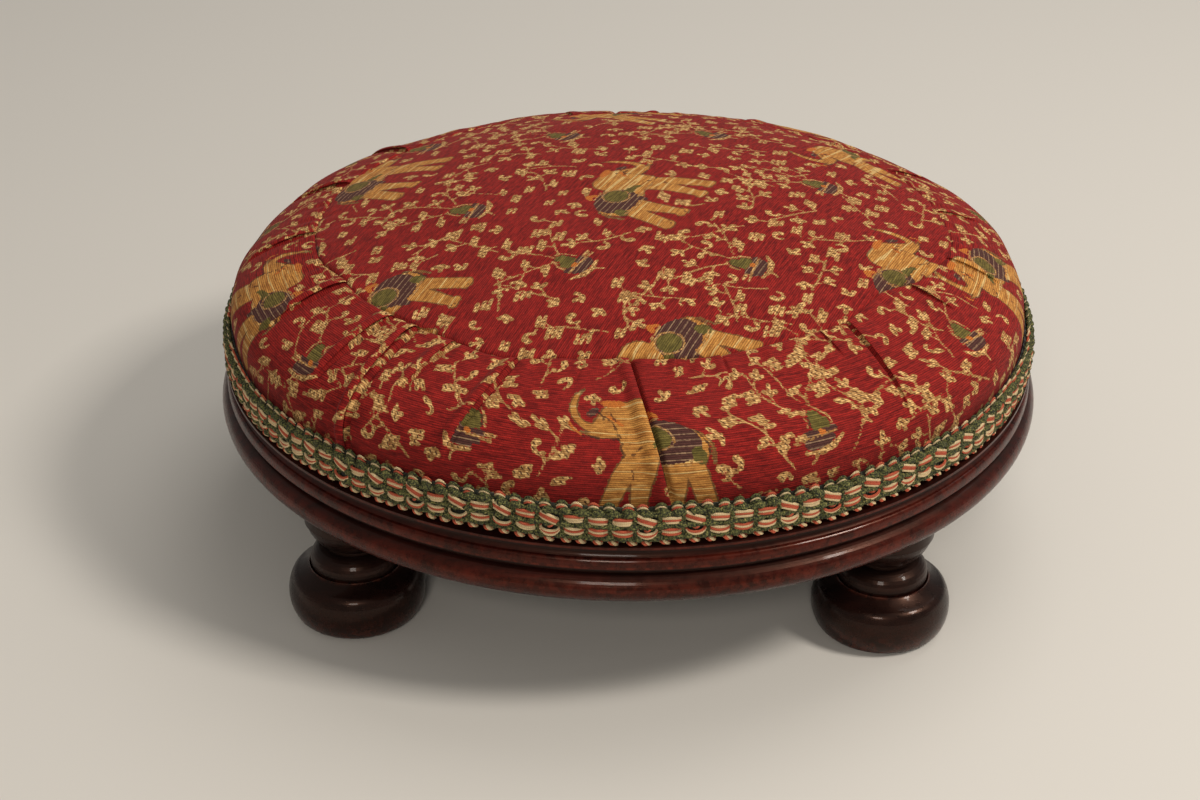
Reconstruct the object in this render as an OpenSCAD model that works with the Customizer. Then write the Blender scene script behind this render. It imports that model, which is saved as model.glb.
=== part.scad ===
// Round footstool: a turned ring of four mahogany segments on four bun feet, with a top-stuffed pad.
// Millimetres, +Z up. The origin is on the floor, under the middle of the stool.
// The feet stand on the diagonals, so the joints of the ring fall on the X and Y axes.

/* [Ring] */
// Outside diameter over the ring's lowest bead
ring_d = 304.8; // [290:0.2:330]
// Diameter of the opening that the webbing crosses
opening_d = 200; // [180:1:206]
// Height of the ring's timber, from underside to top
ring_h = 34.5; // [32:0.5:40]
// Height of the round bead at the bottom of the moulding
bead_h = 10.6; // [9:0.1:11.5]
// How far the moulding's plain wall lies inside the bead's outside
wall_in = 4.2; // [3.8:0.1:4.8]
// Height of the quirk between the bead and the lower fillet
quirk_h = 1.9; // [1.4:0.1:2.4]
// Height of the lower fillet
fillet_h = 0.9; // [0.7:0.1:1.2]
// How far the lower fillet lies inside the bead's outside
fillet_in = 2.5; // [2:0.1:3]
// Height of the rounded step above the lower fillet
ovolo_h = 2.8; // [2.4:0.1:3.2]
// Height of the hollow under the ledge
cove_h = 3.5; // [3:0.1:4]
// How deep the hollow is cut behind the wall
cove_in = 0.9; // [0.6:0.1:1.2]
// Height of the ledge's edge
ledge_h = 1; // [0.8:0.1:1.4]
// How far the ledge's edge lies inside the bead's outside
ledge_in = 3; // [2.6:0.1:3.4]
// How far the wall behind the gimp lies inside the bead's outside
rebate_in = 9.4; // [9:0.1:10]
// Rounding of the ring's top outer edge
top_round = 3; // [2:0.5:4]

/* [Joints of the ring] */
// Diameter of the dowels across each joint
dowel_d = 8; // [6:0.5:9]
// Length of a dowel
dowel_l = 40; // [30:1:44]
// Distance between the two dowels of a joint
dowel_pitch = 18; // [16:0.5:20]

/* [Feet] */
// Height of a foot, from the floor to the ring's underside
foot_h = 44.5; // [42:0.5:48]
// How far the middle of a foot lies inside the bead's outside
foot_in = 22.4; // [21.4:0.1:25]
// Largest diameter of the bun
bun_d = 48; // [46:0.2:50]
// Height of the bun, up to its fine edge
bun_h = 20.4; // [20:0.1:21]
// Height above the floor at which the bun is widest
bun_mid = 9; // [8.4:0.1:9.6]
// Radius of the bun's belly, seen from the side
bun_belly = 15.5; // [14.5:0.5:16.5]
// Rounding where the bun meets the floor
bun_toe = 4.2; // [3.4:0.1:5]
// Rounding of the bun's shoulder
bun_shoulder = 4; // [3:0.2:5]
// Diameter of the fine edge that the bun's hollow top runs up to
bun_edge_d = 32.6; // [32.2:0.1:33.2]
// Diameter at the bottom of the quirk above the bun
foot_quirk_d = 29.8; // [29:0.1:30.4]
// Largest diameter of the rounded ring above the quirk
foot_ring_d = 31.2; // [31:0.1:32.6]
// Radius of that ring, seen from the side
foot_ring_r = 5.7; // [5:0.1:6]
// Diameter of the neck
neck_d = 20.4; // [19.6:0.2:21.6]
// Height of the neck's middle above the floor
neck_z = 28.2; // [27.8:0.1:29]
// Diameter of the collar under the ring
collar_d = 33.4; // [32:0.2:34.4]
// Height of the collar's straight part
collar_h = 7; // [5:0.5:8]
// Diameter of the tenon
tenon_d = 19; // [16:0.5:20]
// Length of the tenon
tenon_l = 24; // [20:0.5:26]

/* [Webbing] */
// Width of a strip
web_w = 38; // [34:1:40]
// Thickness of a strip
web_t = 1.6; // [1.2:0.1:2]
// Distance between the middles of two strips
web_pitch = 46; // [43:1:48]
// Length of the turned-back end of a strip
web_fold = 14; // [11:1:16]
// How far the strips' corners stay inside the hessian's edge
web_in = 6.6; // [6.4:0.2:9]

/* [Pad] */
// Thickness of the hessian
hessian_t = 0.8; // [0.6:0.1:1]
// How far the hessian's edge stays inside the wall behind the gimp
hessian_in = 4.4; // [4.2:0.1:6]
// Thickness of the calico
calico_t = 0.5; // [0.4:0.1:0.6]
// Thickness of the wadding on top of the pad
wadding_t = 5; // [3:0.5:7]
// Thickness of the wadding at its lower edge
wadding_edge_t = 0.6; // [0.5:0.1:0.9]
// Height of the crown above the ring's top
crown_up = 45.2; // [40:0.2:52]
// Height of the seam above the ring's top
seam_up = 30.8; // [28:0.2:34]
// Diameter of the seam between top panel and side band
seam_d = 218; // [208:1:226]
// Height of the pad's widest line above the ring's top
widest_up = 5; // [4:0.5:7]
// How far the pad's widest line lies inside the bead's outside
widest_in = 6.4; // [6:0.1:6.8]

/* [Cover] */
// Thickness of the cover
cover_t = 1.1; // [0.9:0.1:1.3]
// Height of a tuck of the side band at its fullest
tuck_h = 2.6; // [1:0.1:3.5]
// Width of a tuck at the seam
tuck_w = 11; // [8:0.5:12]
// How far the cover's cut edge stays above the ledge
cover_edge_up = 1.2; // [0.8:0.1:2]

/* [Gimp] */
// Height of the braid
gimp_h = 15.4; // [14.4:0.1:15.8]
// Thickness of the braid's ground
gimp_ground_t = 0.9; // [0.7:0.1:1]
// Diameter of the two chenille cords
gimp_cord_d = 2.3; // [2:0.1:2.5]
// Width of the gap where the braid's ends meet, at the back
gimp_gap = 0.4; // [0.3:0.1:1]

/* [Bottom cloth] */
// Thickness of the bottom cloth
bottom_t = 0.5; // [0.4:0.1:0.8]
// How far the bottom cloth laps over the ring's underside
bottom_lap = 11.4; // [9.5:0.1:12]

/* [Tacks] */
// Diameter of a tack's head
tack_head_d = 5; // [4:0.2:5.4]
// Thickness of a tack's head
tack_head_t = 0.5; // [0.4:0.1:0.6]
// Diameter of a tack's shank
tack_shank_d = 1.3; // [1.1:0.1:1.6]
// Length of a tack under its head
tack_l = 10; // [8:0.5:11]
// Diameter of a gimp pin's head
pin_head_d = 2; // [1.6:0.1:2.4]
// Diameter of a gimp pin's shank
pin_shank_d = 0.9; // [0.8:0.1:1.1]

/* [Clearances] */
// Glue gap round a dowel or tenon
glue_gap = 0.1; // [0.05:0.05:0.2]
// Room left at the blind end of a dowel or tenon hole
end_gap = 0.5; // [0.3:0.1:1]
// Gap between one layer of the upholstery and the next
layer_gap = 0.3; // [0.2:0.05:0.4]
// Gap between the cloth and the timber wall behind it
wall_gap = 0.15; // [0.1:0.05:0.2]
// Gap between two webbing strips where they cross
weave_gap = 0.1; // [0.05:0.05:0.2]

/* [Hidden] */

mahogany = [0.27, 0.09, 0.06];
beech = [0.78, 0.62, 0.42];
jute = [0.62, 0.48, 0.31];
fibre = [0.30, 0.23, 0.16];
linen = [0.86, 0.82, 0.72];
cotton = [0.93, 0.92, 0.88];
crimson = [0.60, 0.14, 0.16];
braid_green = [0.30, 0.31, 0.20];
black_cloth = [0.09, 0.09, 0.10];
blued_steel = [0.17, 0.18, 0.21];

ring_sides = 180;
foot_sides = 96;
tack_sides = 16;

ring_r = ring_d / 2;
opening_r = opening_d / 2;
rebate_r = ring_r - rebate_in;
wall_r = ring_r - wall_in;
fillet_r = ring_r - fillet_in;
ledge_r = ring_r - ledge_in;
ring_top = foot_h + ring_h;
bead_mid = foot_h + bead_h / 2;
bead_top_angle = acos((wall_r - ring_r + bead_h / 2) / (bead_h / 2));
fillet_z = foot_h + bead_h + quirk_h;
ovolo_z = fillet_z + fillet_h;
cove_z = ovolo_z + ovolo_h;
ledge_z = cove_z + cove_h;
ledge_top = ledge_z + ledge_h;
underside_chamfer = 1;

foot_circle_r = ring_r - foot_in;
dowel_mid_r = (opening_r + rebate_r) / 2;
dowel_z = foot_h + ring_h / 2;

hessian_r = rebate_r - hessian_in;
web_reach = hessian_r - web_in;
web_stack = 2 * web_t + weave_gap;
hessian_z = ring_top + web_stack + tack_head_t + weave_gap;
stuffing_z = hessian_z + hessian_t + tack_head_t + weave_gap;

seam_r = seam_d / 2;
seam_z = ring_top + seam_up;
crown_z = ring_top + crown_up;
widest_r = ring_r - widest_in;
widest_z = ring_top + widest_up;
crown_power = 2.2;
seam_slope = atan(crown_power * (crown_z - seam_z) / seam_r);
shoulder_top = 0.7 * (widest_r - seam_r);
shoulder_side = 0.47 * (seam_z - widest_z);

calico_r = rebate_r + wall_gap;
cover_in_r = calico_r + calico_t + tack_head_t + wall_gap;
cover_out_r = cover_in_r + cover_t;
cover_edge_z = ledge_top + cover_edge_up;
gimp_in_r = cover_out_r + tack_head_t + wall_gap;
gimp_z = ledge_top + layer_gap;
calico_edge_z = ring_top - 8;
cover_tack_z = ledge_top + 5;
calico_tack_z = ring_top - 5;

// One row per tuck of the side band: angle, length down the band as a share, height as a share,
// and +1 or -1 for the side that the fold leans to. They are gathered by hand, so they are uneven.
tucks = [
    [208, 0.50, 0.70, 1], [227, 0.45, 0.60, -1], [241, 0.75, 0.85, 1], [253, 0.90, 0.80, 1],
    [272, 1.00, 1.00, 1], [288, 0.45, 0.55, -1], [306, 0.40, 0.50, -1], [313, 0.85, 1.00, 1],
    [334, 0.55, 0.60, -1], [350, 0.60, 0.70, 1], [10, 0.50, 0.55, 1], [29, 0.70, 0.75, -1],
    [47, 0.50, 0.60, 1], [68, 0.80, 0.85, 1], [86, 0.45, 0.50, -1], [104, 0.65, 0.75, 1],
    [125, 0.50, 0.55, -1], [143, 0.80, 0.80, 1], [162, 0.55, 0.65, 1], [185, 0.60, 0.60, -1]
];

// Points along an arc about [x, y], from angle a0 to angle a1 in n steps.
function arc(c, r, a0, a1, n) = [for (i = [0:n]) let (a = a0 + (a1 - a0) * i / n) c + r * [cos(a), sin(a)]];

// Points along a curve drawn from p0 to p2 towards p1.
function bow(p0, p1, p2, n) =
    [for (i = [0:n]) let (t = i / n) (1 - t) * (1 - t) * p0 + 2 * t * (1 - t) * p1 + t * t * p2];

// Seats a shape at angle a and radius r.
module at_angle(a, r) {
    rotate([0, 0, a]) translate([r, 0, 0]) children();
}

// Section of the ring: the moulding outside, the rebated wall above its ledge, the plain opening inside.
function ring_section() = concat(
    [[opening_r, foot_h + underside_chamfer], [opening_r + underside_chamfer, foot_h]],
    arc([ring_r - bead_h / 2, bead_mid], bead_h / 2, -90, bead_top_angle, 18),
    [[wall_r, fillet_z], [fillet_r, fillet_z], [fillet_r, ovolo_z]],
    bow([fillet_r, ovolo_z], [fillet_r, cove_z - 0.2], [wall_r + 0.2, cove_z - 0.1], 8),
    bow([wall_r, cove_z], [wall_r - 2 * cove_in, (cove_z + ledge_z) / 2], [wall_r, ledge_z], 10),
    [[ledge_r, ledge_z], [ledge_r, ledge_top], [rebate_r, ledge_top]],
    arc([rebate_r - top_round, ring_top - top_round], top_round, 0, 90, 8),
    [[opening_r, ring_top]]
);

// Holes in one end of a segment, whose end face lies in the XZ plane with the timber on +Y.
module dowel_holes() {
    for (s = [-1, 1])
        translate([dowel_mid_r + s * dowel_pitch / 2, -end_gap, dowel_z])
            rotate([-90, 0, 0])
                cylinder(d = dowel_d + 2 * glue_gap, h = dowel_l / 2 + 2 * end_gap, $fn = 32);
}

// One quarter of the ring, from angle 0 to 90, with the bore for its foot in the middle.
module rim_quarter() {
    difference() {
        rotate_extrude(angle = 90, $fn = ring_sides) polygon(ring_section());
        dowel_holes();
        mirror([1, -1, 0]) dowel_holes();
        at_angle(45, foot_circle_r)
            translate([0, 0, foot_h - end_gap])
                cylinder(d = tenon_d + 2 * glue_gap, h = tenon_l + 2 * end_gap, $fn = 48);
    }
}

module rim_front_left() { color(mahogany) rotate([0, 0, 180]) rim_quarter(); }
module rim_front_right() { color(mahogany) rotate([0, 0, 270]) rim_quarter(); }
module rim_back_right() { color(mahogany) rim_quarter(); }
module rim_back_left() { color(mahogany) rotate([0, 0, 90]) rim_quarter(); }

// Two dowels across each of the four joints, chamfered at both ends.
module rim_dowels() {
    dowel_chamfer = 0.8;
    dowel_section = [
        [0, -dowel_l / 2], [dowel_d / 2 - dowel_chamfer, -dowel_l / 2], [dowel_d / 2, dowel_chamfer - dowel_l / 2],
        [dowel_d / 2, dowel_l / 2 - dowel_chamfer], [dowel_d / 2 - dowel_chamfer, dowel_l / 2], [0, dowel_l / 2]
    ];
    color(beech)
        for (a = [0:90:270], s = [-1, 1])
            at_angle(a, dowel_mid_r + s * dowel_pitch / 2)
                translate([0, 0, dowel_z]) rotate([90, 0, 0])
                    rotate_extrude($fn = 32) polygon(dowel_section);
}

// Section of a foot from the floor to the tip of its tenon. The toe and the shoulder are arcs that run
// smoothly into the belly, and from the shoulder a hollow rises to the bun's fine edge.
function foot_section() =
    let (
        belly_x = bun_d / 2 - bun_belly,
        toe_x = belly_x + sqrt(pow(bun_belly - bun_toe, 2) - pow(bun_mid - bun_toe, 2)),
        toe_angle = atan2(bun_toe - bun_mid, toe_x - belly_x),
        shoulder_start = 25,
        shoulder_end = 62,
        shoulder = [belly_x, bun_mid] + (bun_belly - bun_shoulder) * [cos(shoulder_start), sin(shoulder_start)],
        shoulder_tip = shoulder + bun_shoulder * [cos(shoulder_end), sin(shoulder_end)],
        edge_r = bun_edge_d / 2,
        edge_w = 0.3,
        hollow_foot = [edge_r, bun_h - edge_w],
        hollow_bow = [(shoulder_tip[0] + edge_r) / 2, shoulder_tip[1] + 0.36 * (hollow_foot[1] - shoulder_tip[1])],
        quirk_r = foot_quirk_d / 2,
        ring_x = foot_ring_d / 2 - foot_ring_r,
        ring_z = neck_z - 0.6 - foot_ring_r,
        ring_start = -acos((quirk_r - ring_x) / foot_ring_r),
        neck_r = neck_d / 2,
        ring_end = acos((neck_r - ring_x) / foot_ring_r),
        collar_r = collar_d / 2,
        collar_z = foot_h - collar_h,
        collar_edge = 0.5,
        tenon_r = tenon_d / 2,
        tenon_chamfer = 1.2
    )
    concat(
        [[0, 0]],
        arc([toe_x, bun_toe], bun_toe, -90, toe_angle, 6),
        arc([belly_x, bun_mid], bun_belly, toe_angle, shoulder_start, 14),
        arc(shoulder, bun_shoulder, shoulder_start, shoulder_end, 6),
        bow(shoulder_tip, hollow_bow, hollow_foot, 8),
        [[edge_r - edge_w / 2, bun_h], [edge_r - edge_w, bun_h]],
        arc([ring_x, ring_z], foot_ring_r, ring_start, ring_end, 10),
        bow([neck_r, neck_z + 0.4], [neck_r + 0.72 * (collar_r - neck_r), neck_z + 0.38 * (collar_z - neck_z)],
            [collar_r - collar_edge, collar_z], 8),
        [[collar_r, collar_z + collar_edge], [collar_r, foot_h], [tenon_r, foot_h]],
        [[tenon_r, foot_h + tenon_l - tenon_chamfer], [tenon_r - tenon_chamfer, foot_h + tenon_l]],
        [[0, foot_h + tenon_l]]
    );

module foot(a) {
    color(mahogany) at_angle(a, foot_circle_r) rotate_extrude($fn = foot_sides) polygon(foot_section());
}

module foot_front_left() { foot(225); }
module foot_front_right() { foot(315); }
module foot_back_right() { foot(45); }
module foot_back_left() { foot(135); }

// Half the length of a strip whose middle line lies at a distance from the stool's middle.
function strip_reach(off) = sqrt(pow(web_reach, 2) - pow(abs(off) + web_w / 2, 2));

// Height of the underside of strip number i where it crosses strip number j: over and under by turns.
function strip_level(i, j, over) = ((i + j) % 2 == 0) == over ? web_t + weave_gap : 0;

// Underside of a strip from one end to the other, flat on the timber and stepping over what it crosses.
function strip_line(i, over) = let (reach = strip_reach((i - 1) * web_pitch), half = web_w / 2) concat(
    [[-reach, 0], [-1.5 * web_pitch - 1, 0]],
    [for (j = [0:2], s = [-1, 1]) [(j - 1) * web_pitch + s * (half + 1), strip_level(i, j, over)]],
    [[1.5 * web_pitch + 1, 0], [reach, 0]]
);

// Outline of a strip seen from its edge, with both ends turned back on themselves.
function strip_outline(i, over) =
    let (
        line = strip_line(i, over),
        reach = strip_reach((i - 1) * web_pitch),
        slit = weave_gap,
        fold_in = reach - web_fold,
        last = len(line) - 1
    )
    concat(
        line,
        [[reach, 2 * web_t + slit], [fold_in, 2 * web_t + slit], [fold_in, web_t + slit]],
        [[reach - web_t, web_t + slit], [reach - web_t, web_t]],
        [for (k = [last - 1:-1:1]) line[k] + [0, web_t]],
        [[web_t - reach, web_t], [web_t - reach, web_t + slit], [-fold_in, web_t + slit]],
        [[-fold_in, 2 * web_t + slit], [-reach, 2 * web_t + slit]]
    );

// A strip that runs along X. Strips 0, 1 and 2 lie to the front, in the middle and to the back.
module strip(i, over) {
    color(jute)
        translate([0, (i - 1) * web_pitch, ring_top])
            rotate([90, 0, 0])
                linear_extrude(web_w, center = true) polygon(strip_outline(i, over));
}

module webbing_across_front() { strip(0, true); }
module webbing_across_middle() { strip(1, true); }
module webbing_across_back() { strip(2, true); }
module webbing_along_left() { mirror([1, -1, 0]) strip(0, false); }
module webbing_along_middle() { mirror([1, -1, 0]) strip(1, false); }
module webbing_along_right() { mirror([1, -1, 0]) strip(2, false); }

// A tack with its head's underside at the origin and its point on -Z.
module tack(head_d = tack_head_d, shank_d = tack_shank_d, length = tack_l) {
    rotate_extrude($fn = tack_sides)
        polygon([
            [0, tack_head_t], [head_d / 2 - 0.3, tack_head_t], [head_d / 2, 0],
            [shank_d / 2, 0], [shank_d / 2, -0.6 * length], [0, -length]
        ]);
}

// Three tacks across each of the twelve ends of the webbing.
module webbing_tacks() {
    tack_in = web_fold / 2;
    color(blued_steel)
        for (turn = [0:90:270], i = [0:2], s = [-1, 0, 1])
            rotate([0, 0, turn])
                translate([
                    strip_reach((i - 1) * web_pitch) - tack_in, (i - 1) * web_pitch + s * web_w / 3,
                    ring_top + web_stack
                ])
                    tack();
}

module hessian() {
    color(jute) translate([0, 0, hessian_z]) cylinder(r = hessian_r, h = hessian_t, $fn = ring_sides);
}

// Tacks round the hessian, outside the ends of the webbing.
module hessian_tacks() {
    count = 24;
    color(blued_steel)
        for (k = [0:count - 1])
            at_angle((k + 0.5) * 360 / count, hessian_r - tack_head_d / 2 - 0.3)
                translate([0, 0, hessian_z + hessian_t]) tack();
}

// The pad's outer line: pad_crown runs from the middle to the seam, pad_side from the seam to the widest line.
function pad_crown(t) = [seam_r * t, crown_z - (crown_z - seam_z) * pow(t, crown_power)];
function pad_side(t) =
    let (
        p0 = [seam_r, seam_z],
        p1 = p0 + shoulder_top * [cos(seam_slope), -sin(seam_slope)],
        p3 = [widest_r, widest_z],
        p2 = p3 + [0, shoulder_side],
        s = 1 - t
    )
    s * s * s * p0 + 3 * s * s * t * p1 + 3 * s * t * t * p2 + t * t * t * p3;

// Outward normals of the two lines.
function side_step(t) = pad_side(min(1, t + 0.01)) - pad_side(max(0, t - 0.01));
function crown_normal(t) =
    let (slope = -crown_power * (crown_z - seam_z) * pow(t, crown_power - 1) / seam_r, n = [-slope, 1]) n / norm(n);
function side_normal(t) = t >= 1 ? [1, 0] : let (d = side_step(t)) [-d[1], d[0]] / norm(d);

// A layer's line, at depth d0 under the crown and tapering to d1 at the widest line.
// Every layer is drawn at the same steps, so that one layer's flats lie along the next one's.
layer_steps = 5;
function layer_crown(d0) = [
    for (k = [0:layer_steps - 1])
        let (t = k / layer_steps, p = pad_crown(t) - d0 * crown_normal(t)) [max(0, p[0]), p[1]]
];
function layer_side(d0, d1) = [
    for (k = [0:layer_steps])
        let (t = k / layer_steps, d = d0 + (d1 - d0) * pow(t, 3)) pad_side(t) - d * side_normal(t)
];
function layer_line(d0, d1) = concat(layer_crown(d0), layer_side(d0, d1));
function backwards(list) = [for (k = [len(list) - 1:-1:0]) list[k]];

wadding_out = cover_t + layer_gap;
calico_out = wadding_out + wadding_t + layer_gap;
calico_out_edge = wadding_out + wadding_edge_t + layer_gap;
stuffing_out = calico_out + calico_t + layer_gap;
stuffing_out_edge = calico_out_edge + calico_t + layer_gap;

// The stuffing fills the pad and wraps down round the hessian's edge on to the timber.
module stuffing() {
    side = layer_line(stuffing_out, stuffing_out_edge);
    foot_r = hessian_r + layer_gap;
    foot_z = ring_top + layer_gap;
    color(fibre)
        rotate_extrude($fn = ring_sides)
            polygon(concat(
                side,
                [[rebate_r - top_round / 2, foot_z + top_round / 2], [rebate_r - top_round, foot_z]],
                [[foot_r, foot_z], [foot_r, stuffing_z], [0, stuffing_z]]
            ));
}

// The calico is drawn over the stuffing and down the wall, where its tacks hold it.
module calico_cover() {
    skirt = [[calico_r + calico_t, ring_top - top_round], [calico_r + calico_t, calico_edge_z]];
    back = [[calico_r, calico_edge_z], [calico_r, ring_top - top_round]];
    color(linen)
        rotate_extrude($fn = ring_sides)
            polygon(concat(
                layer_line(calico_out, calico_out_edge),
                skirt,
                back,
                backwards(layer_line(calico_out + calico_t, calico_out_edge + calico_t))
            ));
}

// The wadding lies between the calico and the cover, and feathers out at the pad's widest line.
module wadding() {
    color(cotton)
        rotate_extrude($fn = ring_sides)
            polygon(concat(
                layer_line(wadding_out, wadding_out),
                backwards(layer_line(wadding_out + wadding_t, wadding_out + wadding_edge_t))
            ));
}

// A tack driven into the wall from outside, its head at radius r and height z.
module wall_tack(a, r, z, head_d = tack_head_d, shank_d = tack_shank_d, length = tack_l) {
    at_angle(a, r) translate([0, 0, z]) rotate([0, 90, 0]) tack(head_d, shank_d, length);
}

module calico_tacks() {
    count = 20;
    color(blued_steel)
        for (k = [0:count - 1])
            wall_tack((k + 0.25) * 360 / count, calico_r + calico_t, calico_tack_z, 0.7 * tack_head_d);
}

module cover_tacks() {
    count = 28;
    color(blued_steel)
        for (k = [0:count - 1])
            wall_tack((k + 0.5) * 360 / count, cover_out_r, cover_tack_z);
}

// Height of the tucks at angle a and share t down the band. Each one rises over its width and falls
// sharply on the side that it leans to, opens a little below the seam, and fades out further down.
tuck_drop = 0.12;
function angle_from(a, b) = let (d = a - b) d - 360 * round(d / 360);
function tuck_across(a, row) =
    let (u = row[3] * angle_from(a, row[0]) * PI * seam_r / 180 / tuck_w)
        u < -1 || u > tuck_drop ? 0 : u <= 0 ? 1 + u : 1 - u / tuck_drop;
function tuck_along(t, row) =
    let (u = t / row[1]) u >= 1 ? 0 : (0.35 + 0.65 * min(1, u / 0.25)) * (1 - pow(u, 1.5));
function tuck_rise(a, t) = tuck_h * max([for (row = tucks) row[2] * tuck_across(a, row) * tuck_along(t, row)]);

// Angles at which the side band's section is drawn: three across each tuck, and more between.
function tuck_angles() = [
    for (row = tucks, u = [-1, 0, tuck_drop]) row[0] + row[3] * u * tuck_w * 180 / PI / seam_r
];
function wrap(a) = a - 360 * floor(a / 360);
function sorted(list) = len(list) <= 1 ? list : let (p = list[floor(len(list) / 2)]) concat(
    sorted([for (x = list) if (x < p) x]), [for (x = list) if (x == p) x], sorted([for (x = list) if (x > p) x])
);
function filled(list, widest) = [
    for (k = [0:len(list) - 1])
        let (a = list[k], gap = (k + 1 < len(list) ? list[k + 1] : list[0] + 360) - a, n = ceil(gap / widest))
            for (m = [0:n - 1]) a + gap * m / n
];
band_step = 6.6;
band_angles = filled(sorted([for (a = tuck_angles()) wrap(a)]), band_step);

// A closed skin: every ring holds one point for each angle, and the last ring joins on to the first.
module skin(points, rings, around) {
    faces = [
        for (i = [0:rings - 1], j = [0:around - 1])
            let (
                a = i * around + j,
                b = i * around + (j + 1) % around,
                c = ((i + 1) % rings) * around + (j + 1) % around,
                d = ((i + 1) % rings) * around + j
            )
            each [[a, b, c], [a, c, d]]
    ];
    polyhedron(points, faces);
}

// The side band runs from the seam over the shoulder and down the wall to its tacked edge.
module cover_side_band() {
    outer = [0, 0.15, 0.35, 0.55, 0.78, 1];
    inner = [for (k = [layer_steps:-1:0]) k / layer_steps];
    around = len(band_angles);
    seam_step = layer_gap / 2;
    wall_line = [[cover_out_r, cover_edge_z], [cover_in_r, cover_edge_z]];
    points = [
        for (t = outer, a = band_angles)
            let (p = pad_side(t) + tuck_rise(a, t) * side_normal(t), r = p[0] + (t == 0 ? seam_step : 0))
                [r * cos(a), r * sin(a), p[1]],
        for (p = wall_line, a = band_angles) [p[0] * cos(a), p[0] * sin(a), p[1]],
        for (t = inner, a = band_angles)
            let (p = pad_side(t) - cover_t * side_normal(t), r = p[0] + (t == 0 ? seam_step : 0))
                [r * cos(a), r * sin(a), p[1]]
    ];
    color(crimson) skin(points, len(outer) + len(wall_line) + len(inner), around);
}

// The top panel: a shallow dome whose edge is puckered where the seam gathers it.
module cover_top_panel() {
    around = 96;
    outer = [0.14, 0.34, 0.54, 0.72, 0.86, 0.95, 1];
    inner = [for (k = [layer_steps:-1:1]) k / layer_steps];
    pucker_h = 0.5;
    edge = seam_r - layer_gap;
    function pucker(a, t) = pucker_h * max(0, (t - 0.72) / 0.28) * (0.5 + 0.5 * sin(23 * a + 40 * sin(3 * a)));
    function panel_point(t, a, rise) =
        let (p = pad_crown(t) + rise * crown_normal(t), r = min(p[0], edge)) [r * cos(a), r * sin(a), p[1]];
    points = [
        [0, 0, crown_z],
        for (t = outer, k = [0:around - 1]) let (a = 360 * k / around) panel_point(t, a, pucker(a, t)),
        for (t = inner, k = [0:around - 1]) let (a = 360 * k / around) panel_point(t, a, -cover_t),
        [0, 0, crown_z - cover_t]
    ];
    rings = len(outer) + len(inner);
    last = len(points) - 1;
    faces = [
        for (j = [0:around - 1]) [0, 1 + (j + 1) % around, 1 + j],
        for (i = [0:rings - 2], j = [0:around - 1])
            let (
                a = 1 + i * around + j,
                b = 1 + i * around + (j + 1) % around
            )
            each [[a, b, b + around], [a, b + around, a + around]],
        for (j = [0:around - 1]) [last, last - around + j, last - around + (j + 1) % around]
    ];
    color(crimson) polyhedron(points, faces);
}

// Section of the braid: a flat ground, a chenille cord above and below the middle row,
// and a row of loops along each edge.
module gimp_section() {
    ground = gimp_in_r + gimp_ground_t;
    row_h = (gimp_h - 2 * gimp_cord_d) / 4;
    loop_r = 0.3 * row_h;
    translate([gimp_in_r, gimp_z]) square([gimp_ground_t, gimp_h]);
    translate([ground, gimp_z + gimp_h / 2])
        for (s = [-1, 1]) {
            translate([0, s * row_h / 2]) circle(d = row_h, $fn = 24);
            translate([0, s * (row_h + gimp_cord_d / 2)]) circle(d = gimp_cord_d, $fn = 24);
            translate([0, s * (gimp_h / 2 - loop_r)]) circle(r = loop_r, $fn = 24);
        }
}

// The braid goes once round the stool, and its cut ends meet at the back.
module gimp_braid() {
    gap_angle = gimp_gap * 180 / (PI * gimp_in_r);
    color(braid_green)
        rotate([0, 0, 90 + gap_angle / 2])
            rotate_extrude(angle = 360 - gap_angle, $fn = ring_sides) gimp_section();
}

// Two pins hold each end of the braid, one above the other.
module gimp_pins() {
    pin_in = 4;
    pin_angle = pin_in * 180 / (PI * gimp_in_r);
    row = gimp_h / 2 - gimp_cord_d;
    color(blued_steel)
        for (s = [-1, 1], up = [-1, 1])
            wall_tack(90 + s * pin_angle, gimp_in_r + gimp_ground_t + gimp_cord_d / 2, gimp_z + gimp_h / 2 + up * row,
                pin_head_d, pin_shank_d, tack_l);
}

module bottom_cloth() {
    color(black_cloth)
        translate([0, 0, foot_h - bottom_t])
            cylinder(r = opening_r + bottom_lap, h = bottom_t, $fn = ring_sides);
}

// Tacks driven up through the bottom cloth into the ring's underside.
module bottom_cloth_tacks() {
    count = 16;
    color(blued_steel)
        for (k = [0:count - 1])
            at_angle((k + 0.5) * 360 / count, opening_r + underside_chamfer + tack_head_d / 2)
                translate([0, 0, foot_h - bottom_t]) mirror([0, 0, 1]) tack();
}

rim_front_left();
rim_front_right();
rim_back_right();
rim_back_left();
rim_dowels();
foot_front_left();
foot_front_right();
foot_back_right();
foot_back_left();
webbing_across_front();
webbing_across_middle();
webbing_across_back();
webbing_along_left();
webbing_along_middle();
webbing_along_right();
webbing_tacks();
hessian();
hessian_tacks();
stuffing();
calico_cover();
calico_tacks();
wadding();
cover_top_panel();
cover_side_band();
cover_tacks();
gimp_braid();
gimp_pins();
bottom_cloth();
bottom_cloth_tacks();
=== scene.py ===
import math
from functools import partialmethod
import bpy
import numpy as np
from mathutils import Matrix, Vector


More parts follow.
